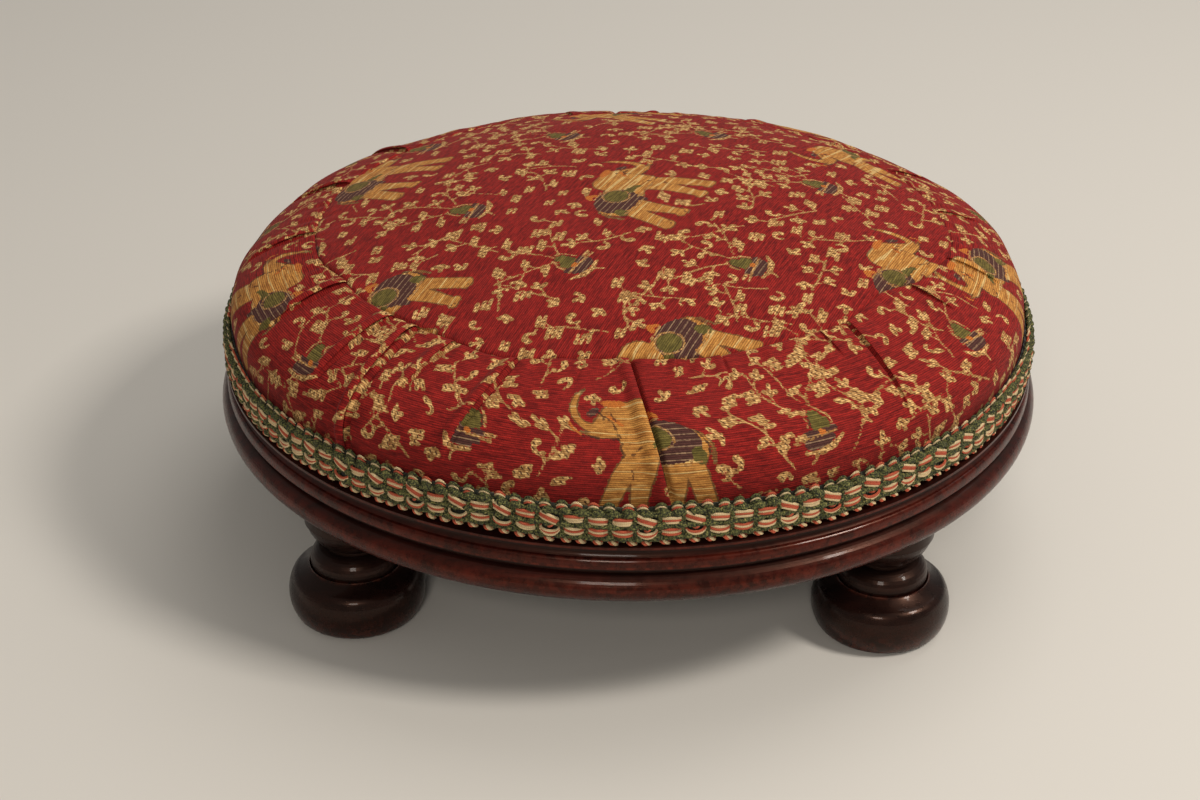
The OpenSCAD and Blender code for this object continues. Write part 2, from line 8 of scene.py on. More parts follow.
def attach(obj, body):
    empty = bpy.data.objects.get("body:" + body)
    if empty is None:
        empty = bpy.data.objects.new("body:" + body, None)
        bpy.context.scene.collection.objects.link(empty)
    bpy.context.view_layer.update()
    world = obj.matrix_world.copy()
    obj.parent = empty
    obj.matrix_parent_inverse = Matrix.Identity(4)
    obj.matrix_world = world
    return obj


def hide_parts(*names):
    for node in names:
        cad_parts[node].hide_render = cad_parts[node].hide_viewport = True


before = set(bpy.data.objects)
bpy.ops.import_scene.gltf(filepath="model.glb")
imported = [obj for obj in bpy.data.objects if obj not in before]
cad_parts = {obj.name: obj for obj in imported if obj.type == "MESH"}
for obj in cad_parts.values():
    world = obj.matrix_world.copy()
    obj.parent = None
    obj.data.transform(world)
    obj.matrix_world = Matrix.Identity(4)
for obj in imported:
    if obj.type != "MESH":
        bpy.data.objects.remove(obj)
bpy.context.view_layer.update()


# The camera stands where the photograph was taken from: low, close, and a little to the right of the front.
# Its place was worked out from the outlines of the ring and the braid, so nothing here follows the object.
focal_px, frame_px, sensor_mm = 2031, 1200, 36
camera_turn, camera_lift, camera_reach = math.radians(1.9), math.radians(28.28), 0.775
aim_right_px, aim_down_px, camera_roll = 27.1, 35.0, math.radians(0.34)
ring_middle = Vector((0, 0, 0.050))


def show(name, data):
    """A new object with some data, put into the scene."""
    made = bpy.data.objects.new(name, data)
    bpy.context.scene.collection.objects.link(made)
    return made


lens = bpy.data.cameras.new("camera")
lens.sensor_width = sensor_mm
lens.lens = focal_px * sensor_mm / frame_px
camera = show("camera", lens)
camera.matrix_world = (
    Matrix.Translation(ring_middle)
    @ Matrix.Rotation(camera_turn, 4, "Z")
    @ Matrix.Rotation(math.pi / 2 - camera_lift, 4, "X")
    @ Matrix.Translation((0, 0, camera_reach))
    @ Matrix.Rotation(math.atan(aim_right_px / focal_px), 4, "Y")
    @ Matrix.Rotation(-math.atan(aim_down_px / focal_px), 4, "X")
    @ Matrix.Rotation(camera_roll, 4, "Z")
)
bpy.context.scene.camera = camera
bpy.context.scene.view_settings.view_transform = "Standard"


# The studio: a plain pale floor, a plain pale room all round it and three soft lamps. One lamp is close
# beside the camera and one high on the right, as the photograph shows two highlights on every turned foot.
MM = 0.001
floor_reach, floor_steps = 6000, 12
room_strength = 0.3


def dye(red, green, blue):
    """A colour given as 0 to 255 on a screen, as the linear colour that a shader takes."""
    def linear(value):
        share = value / 255
        return share / 12.92 if share <= 0.04045 else ((share + 0.055) / 1.055) ** 2.4
    return (linear(red), linear(green), linear(blue), 1)


def new_material(name, colour, **plain):
    """A material and its Principled shader, whose sockets are set by their names."""
    material = bpy.data.materials.new(name)
    material.use_nodes = True
    material.diffuse_color = colour
    shader = material.node_tree.nodes["Principled BSDF"]
    for words, value in {"Base_Color": colour, **plain}.items():
        shader.inputs[words.replace("_", " ")].default_value = value
    return material, shader


def grid_faces(rows, columns, ring=False, closed=False, flip=False):
    """Faces over points in rows. A ring joins each row's ends, and closed the last row to the first."""
    row, column = np.meshgrid(np.arange(rows - (not closed)), np.arange(columns - (not ring)), indexing="ij")
    here, after, beside = row * columns, (row + 1) % rows * columns, (column + 1) % columns
    corners = [here + column, here + beside, after + beside, after + column]
    return np.stack(corners[:1] + corners[:0:-1] if flip else corners, -1).reshape(-1, 4)


def add_piece(name, points, faces, material):
    """A smooth mesh from points in millimetres and faces of four corners each."""
    points = np.asarray(points, float).reshape(-1, 3)
    mesh = bpy.data.meshes.new(name)
    mesh.vertices.add(len(points))
    mesh.vertices.foreach_set("co", (points * MM).ravel())
    mesh.loops.add(faces.size)
    mesh.loops.foreach_set("vertex_index", faces.ravel())
    mesh.polygons.add(len(faces))
    mesh.polygons.foreach_set("loop_start", np.arange(len(faces)) * faces.shape[1])
    mesh.polygons.foreach_set("use_smooth", np.ones(len(faces), bool))
    mesh.update(calc_edges=True)
    mesh.validate()
    mesh.materials.append(material)
    return show(name, mesh)


line = np.linspace(-floor_reach, floor_reach, floor_steps + 1)
across, along = np.meshgrid(line, line)
floor_points = np.stack([across, along, 0 * along], -1)
floor_paint = new_material("floor_paint", dye(214, 209, 201), Roughness=0.75)[0]
add_piece("floor", floor_points, grid_faces(len(line), len(line)), floor_paint)

room = bpy.data.worlds.new("room")
room.use_nodes = True
backdrop = room.node_tree.nodes["Background"]
backdrop.inputs["Color"].default_value = dye(232, 230, 226)
backdrop.inputs["Strength"].default_value = room_strength
bpy.context.scene.world = room

for name, azimuth, height, reach, size, watts, colour in (
    ("front_lamp", -93, 31, 1.6, 0.34, 5.5, (1, 0.95, 0.88)),
    ("right_lamp", -20, 47, 1.7, 0.36, 17, (1, 0.95, 0.88)),
    ("high_lamp", 60, 60, 2.0, 1.4, 12, (1, 0.97, 0.93)),
):
    light = bpy.data.lights.new(name, "AREA")
    light.size, light.energy, light.color = size, watts, colour
    lamp = show(name, light)
    turn, lift = math.radians(azimuth), math.radians(height)
    toward = Vector((math.cos(turn) * math.cos(lift), math.sin(turn) * math.cos(lift), math.sin(lift)))
    lamp.location = ring_middle + reach * toward
    lamp.rotation_euler = toward.to_track_quat("Z", "Y").to_euler()


# The ring: four segments of mahogany, butted and dowelled end to end and turned as one, then french polished.
# The grain runs straight through each segment, so it lies across the next one's at every joint.
foot_top, ring_top = 44.5, 79.0


def feed(socket, value):
    """Sets a socket to a number or colour, or joins it to a value of the same shader."""
    if isinstance(value, Flow):
        socket.id_data.links.new(value.socket, socket)
    else:
        socket.default_value = value


def add_node(tree, kind, inputs, **settings):
    """A shader node with its settings and inputs. What comes out of it is a list of values."""
    made = tree.nodes.new("ShaderNode" + kind)
    for words, value in settings.items():
        setattr(made, words, value)
    for socket, value in inputs.items():
        feed(made.inputs[socket], value)
    return [Flow(socket) for socket in made.outputs]


class Flow:
    """A value on its way through a shader. Reckoning with it adds the nodes that do the sum."""

    def __init__(self, socket):
        self.socket = socket

    def then(self, kind, inputs, **settings):
        return add_node(self.socket.id_data, kind, inputs, **settings)

    def maths(self, kind, other=0.0):
        return self.then("Math", {0: self, 1: other}, operation=kind)[0]

    __add__ = partialmethod(maths, "ADD")
    __sub__ = partialmethod(maths, "SUBTRACT")
    __mul__ = partialmethod(maths, "MULTIPLY")
    __truediv__ = partialmethod(maths, "DIVIDE")
    __mod__ = partialmethod(maths, "MODULO")
    __abs__ = partialmethod(maths, "ABSOLUTE")
    sine = partialmethod(maths, "SINE")
    floor = partialmethod(maths, "FLOOR")
    fraction = partialmethod(maths, "FRACT")
    power = partialmethod(maths, "POWER")
    larger = partialmethod(maths, "MAXIMUM")

    def clamped(self):
        """The sum just made, kept between 0 and 1."""
        self.socket.node.use_clamp = True
        return self

    def eased(self, low, high, from_share=0.0, to_share=1.0):
        """A soft step from one share to another as the value goes from low to high."""
        inputs = dict(enumerate((self, low, high, from_share, to_share)))
        return self.then("MapRange", inputs, interpolation_type="SMOOTHSTEP")[0]

    def between(self, first, second):
        """The first colour where the value is 0, the second where it is 1."""
        return self.then("Mix", {0: self, 6: first, 7: second}, data_type="RGBA")[2]

    def scaled(self, share):
        return self.then("VectorMath", {0: self, "Scale": share}, operation="SCALE")[0]

    def stretched(self, scale, turn=(0, 0, 0)):
        """Coordinates turned and scaled, for a pattern that is longer one way than another."""
        return self.then("Mapping", {"Vector": self, "Rotation": turn, "Scale": scale})[0]

    def noise(self, scale, detail=2.0, rough=0.5, swirl=0.0):
        inputs = {"Vector": self, "Scale": scale, "Detail": detail, "Roughness": rough, "Distortion": swirl}
        return self.then("TexNoise", inputs)[0]

    def parts(self):
        return self.then("SeparateXYZ", {0: self})


def place_in_mm(shader):
    """The object's own coordinates, in millimetres."""
    return Flow(shader.id_data.nodes.new("ShaderNodeTexCoord").outputs["Object"]).scaled(1 / MM)


def new_group(name, inputs, outputs):
    """A node group with sockets given as name: kind. It comes with its input values and output sockets."""
    group = bpy.data.node_groups.new(name, "ShaderNodeTree")
    for direction, sockets in (("INPUT", inputs), ("OUTPUT", outputs)):
        for words, kind in sockets.items():
            group.interface.new_socket(name=words, in_out=direction, socket_type="NodeSocket" + kind)
    start, end = group.nodes.new("NodeGroupInput"), group.nodes.new("NodeGroupOutput")
    return group, {words: Flow(start.outputs[words]) for words in inputs}, end.inputs


def dress(shader, colour, height, height_mm, strength):
    """Gives a shader its colour, and a fine relief from a height."""
    feed(shader.inputs["Base Color"], colour)
    relief = {"Strength": strength, "Distance": height_mm * MM, "Height": height}
    feed(shader.inputs["Normal"], add_node(shader.id_data, "Bump", relief)[0])


def make_wood_group():
    """Mahogany under old polish: ribbon figure, pores along the grain, grime and painted shade in hollows,
    wear and painted highlights on edges.
    """
    group, given, result = new_group(
        "mahogany_figure",
        {"Place": "Vector", "Grain turn": "Vector", "Deep": "Color", "Warm": "Color", "Worn_and_lit": "Color",
         "Grime_and_shade": "Float", "Wear_and_highlight": "Float"},
        {"Colour": "Color", "Roughness": "Float", "Height": "Float"},
    )
    place = given["Place"]
    along_grain = place.stretched((0.05, 1, 1), given["Grain turn"])
    ribbon = along_grain.noise(0.22, 3, 0.55, 0.6)
    pores = along_grain.noise(2.6, 2, 0.6).eased(0.56, 0.7)
    cloud = place.noise(0.045, 3, 0.6)
    handling = place.noise(0.35, 4, 0.65)
    warmth = (ribbon.eased(0.36, 0.68, 0, 0.7) + cloud.eased(0.35, 0.7, 0, 0.5)).clamped()
    # Wear and painted highlights lighten the edges; grime and painted shade darken the hollows, to a
    # near-black brown.
    wear_and_highlight = (given["Wear_and_highlight"] * handling.eased(0.38, 0.66)).clamped()
    grime_and_shade = (given["Grime_and_shade"] * handling.eased(0.15, 0.5, 0.55, 1)).clamped()
    colour = (pores * 0.55).between(warmth.between(given["Deep"], given["Warm"]), dye(20, 9, 7))
    feed(result["Colour"], grime_and_shade.between(wear_and_highlight.between(colour, given["Worn_and_lit"]), dye(17, 10, 9)))
    feed(result["Roughness"], handling.eased(0.3, 0.75, 0.2, 0.34) + grime_and_shade * 0.3)
    feed(result["Height"], place.noise(0.16, 1, 0.4) * 3.0 - pores)
    return group


wood_figure = make_wood_group()


def turned_bands(shader, low, high, stops):
    """Two masks by the height above the floor: grime with painted shade, and wear with painted highlights. A
    stop is (height, grime and shade, wear and highlight).
    """
    height = place_in_mm(shader).parts()[2]
    ramp = shader.id_data.nodes.new("ShaderNodeValToRGB")
    feed(ramp.inputs[0], ((height - low) / (high - low)).clamped())
    marks = ramp.color_ramp.elements
    while len(marks) < len(stops):
        marks.new(0.5)
    for mark, (height, grime_and_shade, wear_and_highlight) in zip(marks, stops):
        mark.position = (height - low) / (high - low)
        mark.color = (grime_and_shade, wear_and_highlight, 0, 1)
    return add_node(shader.id_data, "SeparateColor", {0: Flow(ramp.outputs["Color"])})[:2]


def wood(name, grain_turn, bands, deep, warm, worn_and_lit):
    material, shader = new_material(
        name, warm, Coat_Weight=0.16, Coat_Roughness=0.08, Specular_IOR_Level=0.24,
        Specular_Tint=dye(255, 190, 160))
    grime_and_shade, wear_and_highlight = turned_bands(shader, *bands)
    colour, rough, height = add_node(shader.id_data, "Group", {
        "Place": place_in_mm(shader), "Grain turn": grain_turn, "Deep": deep, "Warm": warm, "Worn_and_lit": worn_and_lit,
        "Grime_and_shade": grime_and_shade, "Wear_and_highlight": wear_and_highlight}, node_tree=wood_figure)
    feed(shader.inputs["Roughness"], rough)
    dress(shader, colour, height, 0.05, 0.35)
    return material


def finish_node(name, material):
    """Gives a CAD node that stays in view its material."""
    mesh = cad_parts[name].data
    mesh.materials.clear()
    mesh.materials.append(material)


# Stops put painted shade, mixed with grime, at the underside, in the groove and cove and under the braid, and
# painted highlights, mixed with wear, on the bead, the round step and the fillet edges.
ring_bands = (foot_top, ring_top, [
    (44.5, 0.7, 0), (46.5, 0.15, 0.15), (50.5, 0, 0.5), (53.6, 0.25, 0.15), (55.6, 1, 0),
    (56.8, 0.7, 0), (57.5, 0, 0.9), (58.2, 0.1, 0.3), (60.4, 0.1, 0.35), (62.4, 0.95, 0),
    (63.9, 0.6, 0), (64.7, 0, 0.8), (65.4, 0.9, 0), (79, 0, 0),
])
for turn, name in enumerate(("rim_back_right", "rim_back_left", "rim_front_left", "rim_front_right")):
    grain = (0.02 * turn, 0, -math.radians(135 + 90 * turn))
    wood_colours = (dye(27, 7, 5), dye(68, 18, 11), dye(100, 34, 20))
    finish_node(name, wood("mahogany_" + name, grain, ring_bands, *wood_colours))


# The feet: turned from the same wood with the grain upright, a bun, a fine edge, a rounded ring, a neck and
# a bowl, glued into the ring by a round tenon. They are darker than the ring, and rubbed near the floor.
# Stops put painted shade, mixed with grime, at the floor, in the grooves, at the neck and under the ring, and
# a painted highlight, mixed with wear, on the fine edge. The wear just above the floor is rubbing.
foot_bands = (0, foot_top, [
    (0, 0.8, 0), (1.2, 0.1, 0.9), (4.5, 0, 0.55), (9.5, 0, 0.12), (15, 0.05, 0), (19.6, 0.3, 0),
    (20.3, 0, 0.8), (20.9, 0.9, 0), (23, 0.15, 0.15), (27.5, 0.75, 0), (29.5, 0.6, 0), (34, 0.15, 0.1),
    (44.5, 0.6, 0),
])
for name in ("foot_front_left", "foot_front_right", "foot_back_right", "foot_back_left"):
    upright = (math.radians(2), math.radians(90), math.radians(40 * len(name)))
    wood_colours = (dye(13, 9, 8), dye(30, 14, 11), dye(76, 33, 22))
    finish_node(name, wood("mahogany_" + name, upright, foot_bands, *wood_colours))


# The dowels: eight beech pegs, two across each joint of the ring, glued into blind holes. They are unpolished
# inside the joints, so they have neither grime and painted shade nor wear and painted highlights.
clean = (foot_top, ring_top, [(foot_top, 0, 0), (ring_top, 0, 0)])
pale = (dye(176, 138, 92), dye(206, 170, 122), dye(214, 184, 140))
finish_node("rim_dowels", wood("beech", (0, 0, math.radians(45)), clean, *pale))


# The webbing: six strips of jute, three each way, drawn tight across the ring's opening and woven over and
# under. Each end is folded back on itself on top of the timber and held with three tacks.
strip_width, strip_thickness, strip_pitch, strip_end_radius, turned_back = 38.0, 1.6, 46.0, 132.0, 14.0
strip_steps, strip_edge, weave_gap = 220, 0.5, 0.1


def make_weave_group():
    """Plain weave: threads pass over and under each other, by the place on the cloth and their width."""
    group, given, result = new_group(
        "plain_weave", {"Place": "Vector", "Thread": "Float"}, {"Height": "Float", "Fibre": "Float"})
    place = given["Place"]
    wandering = place.then("VectorMath", {0: place, 1: place.noise(0.12, 2)}, operation="ADD")[0]
    across, along = (way / given["Thread"] for way in wandering.parts()[:2])
    round_across, round_along = (abs((way * math.pi).sine()) for way in (across, along))
    over = abs((across.floor() + along.floor()) % 2)
    warp, weft = round_across * (round_along * 0.5 + 0.5), round_along * (round_across * 0.5 + 0.5)
    feed(result["Height"], weft + (warp - weft) * over)
    feed(result["Fibre"], place.noise(2.2, 3, 0.7))
    return group


weave = make_weave_group()


def kept_vector(shader, name):
    """The vector that a piece's points keep under a name."""
    source = shader.id_data.nodes.new("ShaderNodeAttribute")
    source.attribute_name = name
    return Flow(source.outputs["Vector"])


def woven_cloth(name, dark, light, thread, height_mm, on_strip=False):
    """A plainly woven cloth, its threads shaded in their hollows and mottled along their length."""
    material, shader = new_material(name, light, Roughness=0.9, Sheen_Weight=0.15)
    place = kept_vector(shader, "cloth") if on_strip else place_in_mm(shader)
    height, fibre = add_node(shader.id_data, "Group", {"Place": place, "Thread": thread}, node_tree=weave)
    colour = (height + fibre * 0.5).eased(0.25, 1.15).between(dark, light)
    blotch = place.noise(0.04, 3, 0.6).eased(0.4, 0.7, 0, 0.3)
    dress(shader, blotch.between(colour, dark), height, height_mm, 0.8)
    return material


jute = woven_cloth("jute_webbing", dye(98, 72, 44), dye(170, 134, 90), 1.5, 0.5, True)


def keep_vectors(piece, name, columns):
    """Keeps three numbers on every point of a piece, under a name that a shader can ask for."""
    kept = piece.data.attributes.new(name, "FLOAT_VECTOR", "POINT")
    vectors = np.stack(np.broadcast_arrays(*columns), -1)
    kept.data.foreach_set("vector", vectors.astype(np.float32).ravel())


def stands_for(piece, node):
    """A piece made here takes the place of a soft CAD node."""
    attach(piece, "root")
    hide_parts(node)


def walked_along(line):
    """How far along a line of points each one lies."""
    return np.concatenate([[0], np.cumsum(np.hypot(*np.diff(line, axis=0).T))])


def strip_path(number, over):
    """The strip's middle line from its outer fold to the middle and back, as (distance along, height)."""
    off = abs(number - 1) * strip_pitch + strip_width / 2
    end = math.sqrt(strip_end_radius ** 2 - off ** 2)
    middle, on_top = strip_thickness / 2, 1.5 * strip_thickness + weave_gap
    line = [(-end + turned_back, on_top), (-end + 1.5, on_top), (-end, strip_thickness + weave_gap / 2)]
    line += [(-end + 1.5, middle), (-1.5 * strip_pitch - 2, middle)]
    for crossed in range(3):
        above = ((number + crossed) % 2 == 0) == over
        level = middle + (strip_thickness + weave_gap if above else 0)
        line += [((crossed - 1) * strip_pitch + side * (strip_width / 2 - 1), level) for side in (-1, 1)]
    return np.array(line + [(-along, height) for along, height in line[4::-1]])


def lay_strip(name, number, over, turn):
    """A strip of webbing with rounded edges along its path. A turned one lies from front to back."""
    path = strip_path(number, over)
    walked = walked_along(path)
    even = np.linspace(0, walked[-1], strip_steps)
    along, height = (np.interp(even, walked, column) for column in path.T)
    way = np.stack([np.gradient(along), np.gradient(height)], 1)
    way /= np.hypot(*way.T)[:, None]
    half, thick = strip_width / 2 - 0.3, strip_thickness / 2 - 0.05
    under = [(x, -1) for x in np.linspace(-half + strip_edge, half - strip_edge, 14)]
    under = [(-half, -0.5), *under, (half, -0.5)]
    across, side = np.array(under + [(-x, -y) for x, y in under]).T
    run = along[:, None] - way[:, 1:] * side * thick
    flat = np.broadcast_to(across + (number - 1) * strip_pitch, run.shape)
    points = np.stack([run, flat, ring_top + height[:, None] + way[:, :1] * side * thick], -1)
    low, count = np.arange(len(under) - 1), len(across)
    cap = np.stack([low, count - 1 - low, count - 2 - low, low + 1], 1)
    faces = np.concatenate([
        grid_faces(strip_steps, count, ring=True), cap, cap[:, ::-1] + (strip_steps - 1) * count])
    if turn:
        points, faces = points[..., [1, 0, 2]], faces[:, ::-1]
    piece = add_piece(name, points, faces, jute)
    keep_vectors(piece, "cloth", (across, even[:, None], 0))
    stands_for(piece, name.replace("strip", "webbing"))


for number, (row, column) in enumerate((("front", "left"), ("middle", "middle"), ("back", "right"))):
    lay_strip("strip_across_" + row, number, True, False)
    lay_strip("strip_along_" + column, number, False, True)


def make_steel():
    """Blued steel, paler where the hammer struck and specked with old rust."""
    material, shader = new_material("blued_steel", dye(70, 72, 80), Metallic=1.0)
    place = place_in_mm(shader)
    colour = place.noise(0.7, 3, 0.6).eased(0.35, 0.65).between(dye(46, 50, 60), dye(104, 102, 104))
    rust = place.noise(1.4, 3, 0.7).eased(0.6, 0.72)
    feed(shader.inputs["Roughness"], rust.eased(0, 1, 0.36, 0.75))
    dress(shader, rust.between(colour, dye(96, 52, 30)), place.noise(1.1, 2), 0.06, 0.5)
    return material


steel = make_steel()
finish_node("webbing_tacks", steel)


# The hessian: a disc of coarse plain weave over the webbing, tacked all round its edge. It keeps the stuffing
# from working down between the strips.
hessian_radius, hessian_low, hessian_high, inside_tacks = 138.6, 82.9, 83.7, 120
hessian_cloth = woven_cloth("hessian", dye(104, 80, 50), dye(182, 148, 102), 1.25, 0.45)


def turned_piece(name, section, material, lift=None, sides=180):
    """A closed piece turned from a closed section of (radius, height) points, none of them on the axis."""
    radius, height = np.asarray(section, float).T[..., None]
    angle = np.linspace(0, 2 * np.pi, sides, endpoint=False)[None]
    if lift:
        radius, height = lift(radius + 0 * angle, height + 0 * angle, angle)
    points = np.stack(np.broadcast_arrays(radius * np.cos(angle), radius * np.sin(angle), height), -1)
    return add_piece(name, points, grid_faces(len(section), sides, ring=True, closed=True), material)


def disc_section(radius, low, high, hole=0.02):
    """The section of a flat disc with a rounded edge. Its hole is too small to see."""
    steps = np.linspace(hole, radius - 0.3, 40)
    return [(r, high) for r in steps] + [(radius, (low + high) / 2)] + [(r, low) for r in steps[::-1]]


def over_webbing(radius, height, angle):
    """The hessian rides over the webbing's crossings and dips a little between them."""
    x, y = (2 * np.pi / strip_pitch * radius * way(angle) for way in (np.cos, np.sin))
    return radius, height + 0.09 * (np.cos(x) + np.cos(y) - 2) * (radius < inside_tacks)


section = disc_section(hessian_radius, hessian_low, hessian_high)
hessian_disc = turned_piece("hessian_disc", section, hessian_cloth, over_webbing)
stands_for(hessian_disc, "hessian")
finish_node("hessian_tacks", steel)


# The stuffing: curled fibre teased into an even dome on the hessian, firm at the edge and softer on top.
# Every layer above it follows the pad's outer line: a crown to the seam, a shoulder, then the wall.
crown_top, seam_radius, seam_height, widest_radius, widest_height = 124.2, 109.0, 109.8, 146.0, 84.0
cover_foot_radius, cover_foot_height = 145.4, 66.4
crown_power, line_pitch = 2.2, 0.25


def make_pad_line():
    """Points (radius, height) evenly along the pad, with the distance walked and the outward normals."""
    drop = crown_top - seam_height
    out = np.linspace(0, seam_radius, 600)
    crown = np.stack([out, crown_top - drop * (out / seam_radius) ** crown_power], 1)
    slope = math.atan(crown_power * drop / seam_radius)
    start, end = crown[-1], np.array([widest_radius, widest_height])
    first = start + 0.7 * (widest_radius - seam_radius) * np.array([math.cos(slope), -math.sin(slope)])
    second = end + (0, 0.47 * (seam_height - widest_height))
    share = np.linspace(0, 1, 400)[1:, None]
    rest = 1 - share
    shoulder = (
        rest ** 3 * start + 3 * rest ** 2 * share * first
        + 3 * rest * share ** 2 * second + share ** 3 * end
    )
    wall = np.linspace(end, (cover_foot_radius, cover_foot_height), 60)[1:]
    line = np.concatenate([crown, shoulder, wall])
    walked = walked_along(line)
    even = np.arange(0, walked[-1], line_pitch)
    line = np.stack([np.interp(even, walked, column) for column in line.T], 1)
    way = np.gradient(line, axis=0)
    return even, line, np.stack([-way[:, 1], way[:, 0]], 1) / np.hypot(*way.T)[:, None]


pad_walk, pad_points, pad_normals = make_pad_line()
seam_at = np.interp(seam_radius, pad_points[:, 0], pad_walk)
widest_at = pad_walk[np.argmax(pad_points[:, 0])]


def on_line(walk, columns):
    """The columns of the pad's line, such as its points, read at some distances walked."""
    return [np.interp(walk, pad_walk, column) for column in columns.T]


def layer_line(depth, edge_depth, steps=70):
    """A layer's line at a depth under the pad's crown that tapers to another depth at the widest place."""
    walk = np.linspace(0.3, widest_at, steps)
    share = np.clip((walk - seam_at) / (widest_at - seam_at), 0, 1)
    deep = depth + (edge_depth - depth) * share ** 3
    radius, height = np.array(on_line(walk, pad_points)) - deep * np.array(on_line(walk, pad_normals))
    return np.stack([np.maximum(radius, 0.02), height], 1)


def make_fibre():
    """Curled brown fibre: short crossing strands, with painted shade between them."""
    material, shader = new_material("curled_fibre", dye(92, 66, 44), Roughness=0.85)
    place = place_in_mm(shader)
    strands = place.stretched((1, 0.25, 0.6), (0.4, 0.3, 0.9)).noise(1.4, 4, 0.75, 2.5)
    height = strands.larger(place.stretched((0.3, 1, 0.6), (0.9, 0.2, 0.1)).noise(1.3, 4, 0.75, 2.5))
    dress(shader, height.eased(0.42, 0.7).between(dye(40, 26, 17), dye(128, 94, 62)), height, 1.2, 0.9)
    return material


def lumpy(radius, height, angle):
    swell = 0.35 * np.sin(radius / 7 + 3 * np.sin(2 * angle)) * np.sin(9 * angle + radius / 15)
    return radius, height + np.where(height > 90, swell - 0.3, 0)


stuffing_foot = [(142.0, 80.2), (140.2, 79.4), (139.0, 79.4), (138.95, 84.2)]
stuffing_base = [(radius, 84.3) for radius in np.linspace(136, 0.02, 30)]
section = np.concatenate([layer_line(7.5, 3.1), stuffing_foot, stuffing_base])
pad_stuffing = turned_piece("pad_stuffing", section, make_fibre(), lumpy)
stands_for(pad_stuffing, "stuffing")


# The calico: an undercover of unbleached cotton, drawn tight over the stuffing and tacked down the wall. It
# holds the pad's shape, and tapers with the pad's layers toward the widest place.
calico_cloth = woven_cloth("calico", dye(178, 164, 134), dye(226, 216, 190), 0.5, 0.15)
calico_wall = [(143.65, 76.0), (143.65, 71.0), (143.15, 71.0), (143.15, 76.0)]
section = np.concatenate([layer_line(6.7, 2.35), calico_wall, layer_line(7.2, 2.85)[::-1]])
calico_undercover = turned_piece("calico_undercover", section, calico_cloth, sides=240)
stands_for(calico_undercover, "calico_cover")
finish_node("calico_tacks", steel)


# The wadding: a layer of soft cotton between calico and cover that feathers out at the widest place. The
# cover's seam and its deepest tucks press into it.
def make_wadding():
    material, shader = new_material("cotton_wadding", dye(226, 221, 208), Roughness=0.95, Sheen_Weight=0.4)
    fluff = place_in_mm(shader).noise(0.5, 5, 0.75)
    dress(shader, fluff.eased(0.3, 0.7).between(dye(198, 192, 178), dye(236, 232, 222)), fluff, 1.5, 0.8)
    return material


section = np.concatenate([layer_line(3.6, 2.0), layer_line(6.3, 2.3)[::-1]])
wadding_layer = turned_piece("wadding_layer", section, make_wadding(), sides=240)
stands_for(wadding_layer, "wadding")


# The cover's cloth: a ribbed wool and cotton tapestry, crimson with a small scattered figure of elephants,
# shrubs in tubs and leafy sprigs. The figure is drawn here flat, in millimetres of cloth, colour by colour.
def way_of(turn):
    """The direction at an angle, as flat coordinates."""
    return np.array([np.cos(turn), np.sin(turn)])


